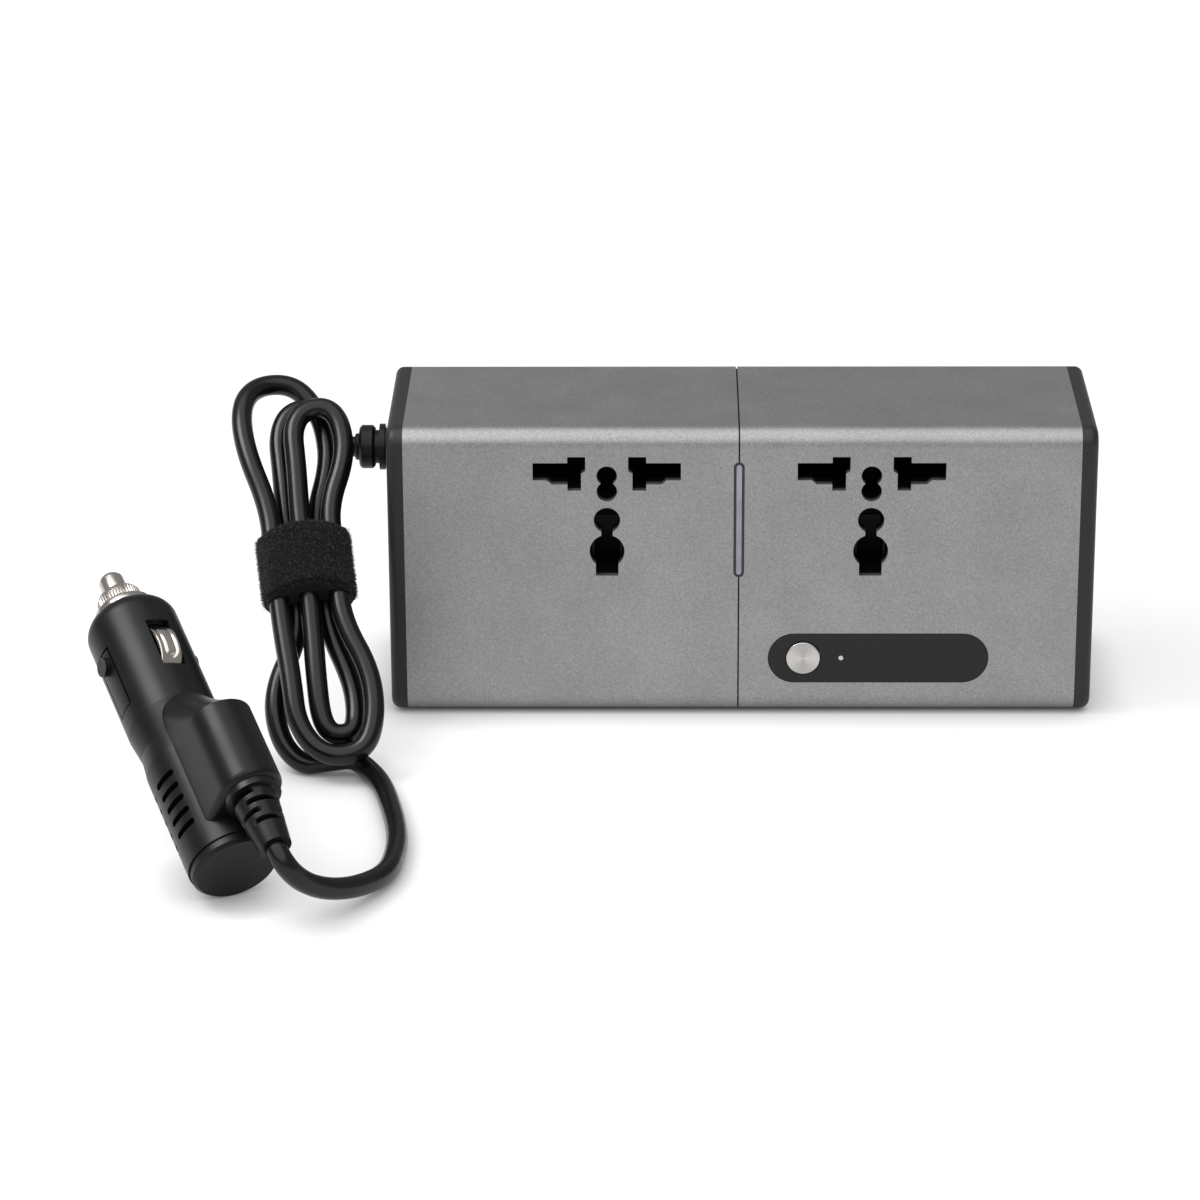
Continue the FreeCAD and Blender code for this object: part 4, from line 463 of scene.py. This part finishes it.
def hank_stations():
    """Places and headings along the hank, from the gland's mouth to where the tail starts."""
    inward = HANK.inverted()
    leaving = (inward.to_3x3() @ Vector((-1, 0, 0))).normalized()
    lead_end = GLAND_MOUTH - Vector((LEAD_STRAIGHT, 0, 0))
    points = [inward @ GLAND_MOUTH, inward @ lead_end, LEAD_BEND, FIRST_TOP]
    headings = [leaving, leaving, LEAD_HEADING, Vector((-1, 0, 0))]
    turn = 0.0
    while turn < TURNS_OF_CORD:
        for kind, fraction, heading in STATIONS:
            if 0.0 < turn + fraction <= TURNS_OF_CORD:
                points.append(station_point(kind, turn + fraction))
                headings.append(Vector((*heading, 0)))
        turn += 1.0
    points.append(points[-1] + Vector((CORD_DIAMETER, 0, 0)))
    headings.append(Vector((1, 0, 0)))
    for index in range(2, len(points) - 1):
        before, after = points[index - 1], points[index + 1]
        rise = (after.z - before.z) / ((points[index] - before).length + (after - points[index]).length)
        headings[index] = Vector((headings[index].x, headings[index].y, rise)).normalized()
    headings[-2] = Vector(headings[-1])
    return points, headings


def corner_points(start, heading, end, arriving):
    """The two spline points between stations that keep the cord on both headings."""
    span = end - start
    both = heading + arriving
    square = 2 * (1 - heading.dot(arriving))
    reach = span.dot(both)
    if square < SAME_HEADING:
        leg = span.dot(span) / (4 * span.dot(arriving))
    else:
        leg = (math.sqrt(reach * reach + square * span.dot(span)) - reach) / square
    return [start + heading * leg, end - arriving * leg]


def cord_points():
    """Every control point of the cord, in metres."""
    points, headings = hank_stations()
    spots = [points[0]]
    for index in range(1, len(points) - 1):
        spots += corner_points(points[index], headings[index], points[index + 1], headings[index + 1])
    spots.append(points[-1] + headings[-1] * TAIL_START)
    return [HANK @ spot * MM for spot in spots] + [Vector(point) for point in TAIL_ROUTE]


# The plug's frame: its axes are the columns, and the last one is the middle of its flat end
PLUG_FRAME = Matrix((
    (0.3911, 0.8352, -0.3871, -0.1103),
    (-0.3199, 0.5177, 0.7936, -0.1312),
    (0.8631, -0.1866, 0.4695, 0.008412),
    (0.0, 0.0, 0.0, 1.0),
))
HUMP_OFFSET = 16.5
RELIEF_FACE = 6.8
RELIEF_LENGTH = 15.0
RELIEF_MOUTH = RELIEF_FACE - RELIEF_LENGTH


def on_plug(x, y, z):
    """A place in the plug's frame, given in millimetres: Z from the flat end to the tip."""
    return PLUG_FRAME @ Vector((x * MM, y * MM, z * MM))


route = cord_points()
route.append(on_plug(HUMP_OFFSET, 0.0, RELIEF_MOUTH - TAIL_END))
route.append(on_plug(HUMP_OFFSET, 0.0, RELIEF_MOUTH))

curve = bpy.data.curves.new("cord", "CURVE")
curve.dimensions = "3D"
spline = curve.splines.new("NURBS")
spline.points.add(len(route) - 1)
for point, place in zip(spline.points, route):
    point.co = (*place, 1.0)
spline.order_u = 3
spline.use_endpoint_u = True
spline.resolution_u = 10
curve.bevel_depth = CORD_DIAMETER / 2 * MM
curve.bevel_resolution = 7
curve.use_fill_caps = True
curve.materials.append(CORD)
cord = bpy.data.objects.new("cord", curve)
bpy.context.scene.collection.objects.link(cord)
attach(cord, BODY)
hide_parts("cord_hank", "cord_tail")


def add_piece(name, mesh, material, smooth=True):
    mesh.materials.append(material)
    for polygon in mesh.polygons:
        polygon.use_smooth = smooth
    piece = bpy.data.objects.new(name, mesh)
    bpy.context.scene.collection.objects.link(piece)
    return piece


def add_mesh(name, vertices, faces, material, smooth=True):
    mesh = bpy.data.meshes.new(name)
    mesh.from_pydata(vertices, [], faces)
    return add_piece(name, mesh, material, smooth)


# Strap: two layers of fuzzy tape round the hank's waist, which bulge over the front strands

STRAP_WIDTH = 15.2
STRAP_WALL = 1.3
STRAP_LINING_WALL = 0.55
STRAP_CLEARANCE = 0.05
STRAP_GAP = 0.1
STRAP_CORNER = CORD_DIAMETER / 2 + 0.2
STRAP_HALF = PITCH + STRAP_CORNER
STRAP_DEPTH = LAYER_AT_WAIST + STRAP_CORNER
STRAP_CROWN = 2.2
STRAP_ARCH = 1.5
STRAP_BACK_SHARE = -0.35
STRAP_STEP = -0.9
STRAP_ROWS = 26
STRAP_SPACING = 0.6
CORNER_POINTS = 9
EDGE_SOFTNESS = {0: 0.35, 1: 0.1}
PILE_WAVES = 1.7
PILE_HEIGHT = 0.12


def crowned(spot):
    """A place on the band's even section, moved out and along the hank as the slack tape lies."""
    share = 1.0 - min(1.0, abs(spot.x) / STRAP_HALF) ** 2
    front = 1.0 if spot.z > 0 else STRAP_BACK_SHARE
    return spot + Vector((0, STRAP_ARCH * front * share, STRAP_CROWN * front * share))


def strap_ring(grow):
    """Points and outward ways round the strap's section, grown from its inside."""
    corner = STRAP_CORNER + grow
    run_u = STRAP_HALF - STRAP_CORNER
    run_w = STRAP_DEPTH - STRAP_CORNER
    spots = []
    for sign_u, sign_w, start in ((1, 1, 0), (-1, 1, 90), (-1, -1, 180), (1, -1, 270)):
        for step in range(CORNER_POINTS):
            angle = math.radians(start + 90 * step / (CORNER_POINTS - 1))
            way = Vector((math.cos(angle), 0, math.sin(angle)))
            spots.append((Vector((sign_u * run_u, 0, sign_w * run_w)) + way * corner, way))
    filled = []
    for index, (spot, way) in enumerate(spots):
        following, next_way = spots[(index + 1) % len(spots)]
        filled.append((spot, way))
        steps = int((following - spot).length / STRAP_SPACING)
        for step in range(1, steps):
            share = step / steps
            filled.append((spot.lerp(following, share), way.lerp(next_way, share).normalized()))
    return filled


def strap_piece(name, inside, outside, slide, material):
    """A closed band between two heights above the cord, whose outer face is uneven as pile is."""
    build = bmesh.new()
    rings = []
    for row in range(STRAP_ROWS + 1):
        along = Vector((0, (row / STRAP_ROWS - 0.5) * STRAP_WIDTH + slide, 0))
        soft = EDGE_SOFTNESS.get(min(row, STRAP_ROWS - row), 0.0)
        ring = []
        for spot, way in strap_ring(outside):
            bumpy = noise.noise((spot + along) * PILE_WAVES) * PILE_HEIGHT
            ring.append(build.verts.new(HANK @ (crowned(spot) + way * (bumpy - soft) + along) * MM))
        rings.append(ring)
    holes = []
    for end in (-0.5, 0.5):
        along = Vector((0, end * STRAP_WIDTH + slide, 0))
        hole = [HANK @ (crowned(spot) + along) * MM for spot, way in strap_ring(inside)]
        holes.append([build.verts.new(place) for place in hole])
    for low, high in list(zip(rings, rings[1:])) + [(holes[0], holes[1])]:
        for index, vertex in enumerate(low):
            following = (index + 1) % len(low)
            build.faces.new((vertex, low[following], high[following], high[index]))
    for ring, hole in ((rings[0], holes[0]), (rings[-1], holes[1])):
        edges = [build.edges.get((loop[index - 1], loop[index])) for loop in (ring, hole)
                 for index in range(len(loop))]
        bmesh.ops.bridge_loops(build, edges=edges)
    bmesh.ops.recalc_face_normals(build, faces=build.faces)
    mesh = bpy.data.meshes.new(name)
    build.to_mesh(mesh)
    build.free()
    piece = add_piece(name, mesh, material)
    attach(piece, BODY)
    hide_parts("cord_strap")
    return piece


def pile_material():
    """Matted pile, with painted shade: near black in the hollows of the bump and lighter on the knots.
    """
    material = new_material("pile", (0.006, 0.006, 0.006), 0.9, specular=0.2)
    knots = grain(material, size_mm=0.55, detail=4.0)
    # Painted shade: the colour follows the bump's height, darkest in the hollows and lightest on the
    # knots
    set_colour(material, knots, [
        (0.38, (0.001, 0.001, 0.001)),
        (0.54, (0.002, 0.002, 0.0021)),
        (0.72, (0.024, 0.024, 0.025)),
    ])
    set_bump(material, knots, depth_mm=0.45)
    shader = shader_of(material)
    shader.inputs["Sheen Weight"].default_value = 0.04
    shader.inputs["Sheen Roughness"].default_value = 0.5
    return material


def pile_fibres(count, seed):
    """Short bent fibres that stand out of the strap's face and edges."""
    chance = random.Random(seed)
    ring = strap_ring(STRAP_WALL)
    vertices = []
    faces = []
    for _ in range(count):
        spot, way = chance.choice(ring)
        v = chance.uniform(-0.5, 0.5) * STRAP_WIDTH
        root = crowned(spot) + Vector((0, v, 0)) - way * FIBRE_ROOT
        side = Vector((chance.uniform(-1, 1), chance.uniform(-1, 1), chance.uniform(-1, 1))).normalized()
        rise = chance.uniform(*FIBRE_RISE)
        bend = side * chance.uniform(*FIBRE_BEND)
        thin = way.cross(side).normalized() * FIBRE_HALF
        knee = root + way * rise * KNEE_RISE + bend * KNEE_BEND
        spots = (root, knee, root + way * rise + bend)
        first = len(vertices)
        for place, share in zip(spots, FIBRE_TAPER):
            vertices += [HANK @ (place - thin * share) * MM, HANK @ (place + thin * share) * MM]
        faces += [(first, first + 1, first + 3, first + 2), (first + 2, first + 3, first + 5, first + 4)]
    return add_mesh("strap_fibres", vertices, faces, FIBRE)


FIBRE_COUNT = 6500
FIBRE_SEED = 11
FIBRE_HALF = 0.045
FIBRE_TAPER = (1.0, 0.8, 0.3)
FIBRE_ROOT = 0.1
FIBRE_RISE = (0.25, 0.6)
FIBRE_BEND = (0.15, 0.45)
KNEE_RISE = 0.7
KNEE_BEND = 0.3
PILE = pile_material()
FIBRE = moulded("pile fibre", (0.035, 0.035, 0.036), 0.6, specular=0.2)
# Painted glints: a few fibres are coloured light grey among near-black ones, standing in for light
# catching single fibres
set_colour(FIBRE, grain(FIBRE, size_mm=0.7, detail=2.0), [
    (0.50, (0.002, 0.002, 0.002)),
    (0.68, (0.14, 0.14, 0.143)),
])
strap = strap_piece("strap", STRAP_LINING_WALL + STRAP_GAP, STRAP_WALL, 0.0, PILE)
strap_lining = strap_piece("strap_lining", STRAP_CLEARANCE, STRAP_LINING_WALL, STRAP_STEP, PILE)
fibres = pile_fibres(FIBRE_COUNT, FIBRE_SEED)
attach(fibres, BODY)

# Plug pieces with detail that the solids leave out, made in the plug's frame


def put_on_plug(name, vertices, faces, material, node, body=BODY):
    piece = add_mesh(name, [on_plug(*v) for v in vertices], faces, material)
    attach(piece, body)
    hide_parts(node)
    return piece


def lathe(profile, segments, radius_of=None):
    """A turned skin about Z. Each row of the profile starts with its radius and its height.

    Where the skin isn't round, radius_of gives the radius at each place round a row.
    """
    vertices = []
    faces = []
    for row in profile:
        for index in range(segments):
            angle = 2 * math.pi * index / segments
            radius = radius_of(row, angle, index) if radius_of else row[0]
            vertices.append((radius * math.cos(angle), radius * math.sin(angle), row[1]))
    for row in range(len(profile) - 1):
        for index in range(segments):
            a = row * segments + index
            b = row * segments + (index + 1) % segments
            faces.append((a, b, b + segments, a + segments))
    return vertices, faces


def add_edge_split(piece, degrees=35.0):
    """Smooth faces with sharp edges kept."""
    mesh = piece.data
    build = bmesh.new()
    build.from_mesh(mesh)
    bmesh.ops.recalc_face_normals(build, faces=build.faces)
    for edge in build.edges:
        if len(edge.link_faces) == 2 and edge.calc_face_angle() > math.radians(degrees):
            edge.smooth = False
    build.to_mesh(mesh)
    build.free()


NOSE_AT = 74.5
KNURLS = 44
KNURL_DEPTH = 0.22
# Radius, height from the flange's seat, and share of the knurls' depth
NOSE_PROFILE = (
    (4.4, -8.5, 0), (5.6, -8.5, 0), (5.6, 0.0, 0), (6.9, 0.0, 0), (7.0, 0.1, 0), (7.0, 1.5, 0),
    (6.85, 1.8, 0), (6.6, 2.0, 0), (5.0, 2.0, 0), (5.0, 2.3, 0), (5.1, 2.5, 1), (5.1, 5.5, 1),
    (4.9, 5.9, 0.6), (4.6, 6.3, 0), (4.3, 6.5, 0), (3.15, 6.5, 0), (3.05, 6.4, 0), (3.05, 4.1, 0),
    (4.4, 4.1, 0), (4.4, -8.5, 0),
)
PIN_RADIUS = 2.9
PIN_FOOT = NOSE_AT + 3.9
PIN_TOP = NOSE_AT + 12.4
PIN_AXIS = 0.01
PIN_SEGMENTS = 72
# How far the pin's end is inside its radius, and how far below its top
PIN_END = ((0.0, 1.5), (0.12, 1.1), (0.5, 0.55), (0.8, 0.25), (1.4, 0.08))


def knurled(row, angle, index):
    """Two of four places round the ring lie in the groove between two knurls."""
    return row[0] - row[2] * KNURL_DEPTH * (1.0 if index % 4 in (0, 1) else 0.0)


def nose_cap():
    """The nickel screw cap: a flange, and a ring with straight knurls."""
    rows = [(radius, NOSE_AT + height, share) for radius, height, share in NOSE_PROFILE]
    vertices, faces = lathe(rows, KNURLS * 4, knurled)
    piece = put_on_plug("nose_cap", vertices, faces, CHROME, "plug_nose_cap")
    add_edge_split(piece)
    return piece


def nose_pin():
    """The sprung centre pin, turned, with a chamfer and a shallow dome."""
    rows = [(PIN_AXIS, PIN_FOOT), (PIN_RADIUS, PIN_FOOT)]
    rows += [(PIN_RADIUS - inward, PIN_TOP - below) for inward, below in PIN_END]
    rows.append((PIN_AXIS, PIN_TOP))
    vertices, faces = lathe(rows, PIN_SEGMENTS)
    piece = put_on_plug("nose_pin", vertices, faces, CHROME, "tip_pin", "tip_pin")
    add_edge_split(piece)
    return piece


WINDOW_MIDDLE = 57.4
CLIP_BOW = 11.4
CLIP_FOOT = 8.337
CLIP_RISE = 6.1
CLIP_REACH = 8.4
CLIP_HALF = 2.5
CLIP_THICK = 0.8
CLIP_ROWS = 84
CLIP_COLUMNS = 40
CLIP_EDGE = 0.3
CLIP_EDGE_DROP = 0.12
GROOVE_SHIFT = 0.6
GROOVE_HALF = 4.6
GROOVE_RADIUS = 1.3
GROOVE_WIDTH = 0.26
GROOVE_DEPTH = 0.36


def clip_height(z):
    """How far out the leaf is, at a distance along it from the window's middle."""
    sag = CLIP_BOW - CLIP_FOOT
    radius = (CLIP_RISE ** 2 + sag ** 2) / (2 * sag)
    if abs(z) >= CLIP_RISE:
        return CLIP_FOOT
    return CLIP_BOW - radius + math.sqrt(radius ** 2 - z ** 2)


def side_contact(name, node, hand):
    """A bowed leaf with a groove pressed into it along a round-ended outline."""
    top, under = [], []
    for i in range(CLIP_ROWS + 1):
        z = (2.0 * i / CLIP_ROWS - 1.0) * CLIP_REACH
        for j in range(CLIP_COLUMNS + 1):
            y = (2.0 * j / CLIP_COLUMNS - 1.0) * CLIP_HALF
            past = max(0.0, abs(z - GROOVE_SHIFT) - GROOVE_HALF + GROOVE_RADIUS)
            near = math.hypot(past, y) / GROOVE_RADIUS
            dip = GROOVE_DEPTH * math.exp(-((near - 1.0) / GROOVE_WIDTH) ** 2)
            edge = max(0.0, abs(y) - CLIP_HALF + CLIP_EDGE) / CLIP_EDGE
            x = clip_height(z) - dip - CLIP_EDGE_DROP * edge * edge
            top.append((hand * x, hand * y, WINDOW_MIDDLE + z))
            under.append((hand * (clip_height(z) - CLIP_THICK), hand * y, WINDOW_MIDDLE + z))
    vertices = top + under
    shift = len(top)
    faces = []
    width = CLIP_COLUMNS + 1
    for i in range(CLIP_ROWS):
        for j in range(CLIP_COLUMNS):
            a = i * width + j
            faces.append((a, a + 1, a + 1 + width, a + width))
            faces.append((a + shift, a + width + shift, a + 1 + width + shift, a + 1 + shift))
    rim = [(0, j) for j in range(CLIP_COLUMNS)]
    rim += [(i, CLIP_COLUMNS) for i in range(CLIP_ROWS)]
    rim += [(CLIP_ROWS, j) for j in range(CLIP_COLUMNS, 0, -1)]
    rim += [(i, 0) for i in range(CLIP_ROWS, 0, -1)]
    loop = [i * width + j for i, j in rim]
    for a, b in zip(loop, loop[1:] + loop[:1]):
        faces.append((a, a + shift, b + shift, b))
    piece = put_on_plug(name, vertices, faces, CHROME, node, node)
    add_edge_split(piece, 50.0)
    return piece


RELIEF_ROOT = 5.35
RELIEF_TAPER = 0.115
RELIEF_COLLAR = 6.2
RELIEF_COLLAR_LENGTH = 1.6
RELIEF_PLAIN_LENGTH = 3.6
RELIEF_RIBS = 4
RELIEF_CORE = 3.0
RELIEF_BORE = 2.5
RELIEF_STEPS = 110
RELIEF_SEGMENTS = 96
GAP_SHARE = 0.52
GAP_SLOPE = 0.12
WEB_START = 0.80
WEB_SLOPE = 0.08


def ribbed(row, angle, index):
    """Ribs joined by two webs, which turn a quarter at each gap."""
    down = row[2]
    if down < RELIEF_COLLAR_LENGTH:
        return RELIEF_COLLAR
    skin = RELIEF_ROOT - RELIEF_TAPER * down
    pitch = (RELIEF_LENGTH - RELIEF_PLAIN_LENGTH - RELIEF_COLLAR_LENGTH) / RELIEF_RIBS
    place = (down - RELIEF_COLLAR_LENGTH) / pitch
    if place >= RELIEF_RIBS:
        return skin
    share = place % 1.0
    in_gap = clamp(share / GAP_SLOPE) * clamp((GAP_SHARE - share) / GAP_SLOPE)
    turned = angle + math.pi / 2 * (int(place) % 2)
    web = clamp((abs(math.cos(turned)) - WEB_START) / WEB_SLOPE)
    return skin - (skin - RELIEF_CORE) * in_gap * (1.0 - web)


def strain_relief():
    """The ribbed rubber sleeve on the cord, which starts at the housing's end face."""
    depths = [RELIEF_LENGTH * step / RELIEF_STEPS for step in range(RELIEF_STEPS + 1)]
    rows = [(RELIEF_ROOT, RELIEF_FACE - depth, depth) for depth in depths]
    vertices, faces = lathe(rows, RELIEF_SEGMENTS, ribbed)
    start = len(vertices) - RELIEF_SEGMENTS
    for index in range(RELIEF_SEGMENTS):
        angle = 2 * math.pi * index / RELIEF_SEGMENTS
        vertices.append((RELIEF_BORE * math.cos(angle), RELIEF_BORE * math.sin(angle), RELIEF_MOUTH))
        here = start + index
        following = start + (index + 1) % RELIEF_SEGMENTS
        faces.append((here, following, following + RELIEF_SEGMENTS, here + RELIEF_SEGMENTS))
    moved = [(x + HUMP_OFFSET, y, z) for x, y, z in vertices]
    piece = put_on_plug("strain_relief", moved, faces, RELIEF, "plug_strain_relief")
    add_edge_split(piece, 40.0)
    return piece


RELIEF = moulded("relief rubber", (0.004, 0.004, 0.0042), 0.34, grain_mm=0.3, depth_mm=0.004,
                 specular=0.25)
nose = nose_cap()
pin = nose_pin()
upper_contact = side_contact("upper_contact", "side_contact_upper", 1)
lower_contact = side_contact("lower_contact", "side_contact_lower", -1)
relief = strain_relief()

ON_CORD = [strap, strap_lining, fibres, nose, pin, upper_contact, lower_contact, relief]
ON_CORD += [nodes[name] for name in (
    "cable_gland", "plug_shell_front", "plug_shell_rear", "plug_end_cap", "plug_fuse",
    "fuse_holder", "tip_spring", "latch_tab_front", "latch_tab_rear")]

# Floor, light and surroundings


def add_lamp(name, data, place, target):
    """A lamp that shines from its place towards a target, and isn't in the picture itself."""
    lamp = bpy.data.objects.new(name, data)
    lamp.location = place
    lamp.rotation_euler = (Vector(target) - Vector(place)).to_track_quat("-Z", "Y").to_euler()
    lamp.visible_camera = False
    bpy.context.scene.collection.objects.link(lamp)


def square_light(name, place, target, side, power):
    data = bpy.data.lights.new(name, "AREA")
    data.shape = "SQUARE"
    data.size = side
    data.energy = power
    add_lamp(name, data, place, target)


def sun_light(name, place, target, spread, strength):
    """A far round light, spread degrees across, which is as bright all over the floor."""
    data = bpy.data.lights.new(name, "SUN")
    data.angle = math.radians(spread)
    data.energy = strength
    add_lamp(name, data, place, target)


def floor_material():
    """A pale floor. Seen directly, in gloss or through glass, part of its brightness is its own.

    That part fades where something stands close, so that the object still meets its shadow.
    """
    material = new_material("floor", (0.92, 0.92, 0.92), 0.9, specular=0.1)
    tree = material.node_tree
    path = tree.nodes.new("ShaderNodeLightPath")
    seen = path.outputs["Is Camera Ray"]
    for way in ("Is Glossy Ray", "Is Transmission Ray"):
        seen = maths(tree, "MAXIMUM", seen, path.outputs[way])
    share = maths(tree, "MULTIPLY", seen, FLOOR_GLOW)
    glow = tree.nodes.new("ShaderNodeEmission")
    open_share = tree.nodes.new("ShaderNodeAmbientOcclusion")
    open_share.inputs["Distance"].default_value = CONTACT_REACH
    tree.links.new(open_share.outputs["Color"], glow.inputs["Color"])
    mix = tree.nodes.new("ShaderNodeMixShader")
    tree.links.new(share, mix.inputs["Fac"])
    tree.links.new(shader_of(material).outputs["BSDF"], mix.inputs[1])
    tree.links.new(glow.outputs["Emission"], mix.inputs[2])
    tree.links.new(mix.outputs["Shader"], tree.nodes["Material Output"].inputs["Surface"])
    return material


FLOOR_GLOW = 0.62
CONTACT_REACH = 0.012
FLOOR_HALF = 6
WORLD_STRENGTH = 0.36
corners = [(x * FLOOR_HALF, y * FLOOR_HALF, 0) for x, y in ((-1, -1), (1, -1), (1, 1), (-1, 1))]
floor = add_mesh("floor", corners, [(0, 1, 2, 3)], floor_material(), smooth=False)

world = bpy.data.worlds.new("studio")
bpy.context.scene.world = world
world.use_nodes = True
backdrop = world.node_tree.nodes["Background"]
backdrop.inputs["Color"].default_value = (1.0, 1.0, 1.0, 1.0)
backdrop.inputs["Strength"].default_value = WORLD_STRENGTH

sun_light("overhead light", (-0.15, -0.42, 1.0), (0.0, 0.0, 0.0), spread=90.0, strength=2.5)
square_light("left softbox", (-0.38, -0.10, 0.44), (-0.12, -0.10, 0.03), side=0.24, power=1.6)

bpy.context.scene.view_settings.view_transform = "Standard"
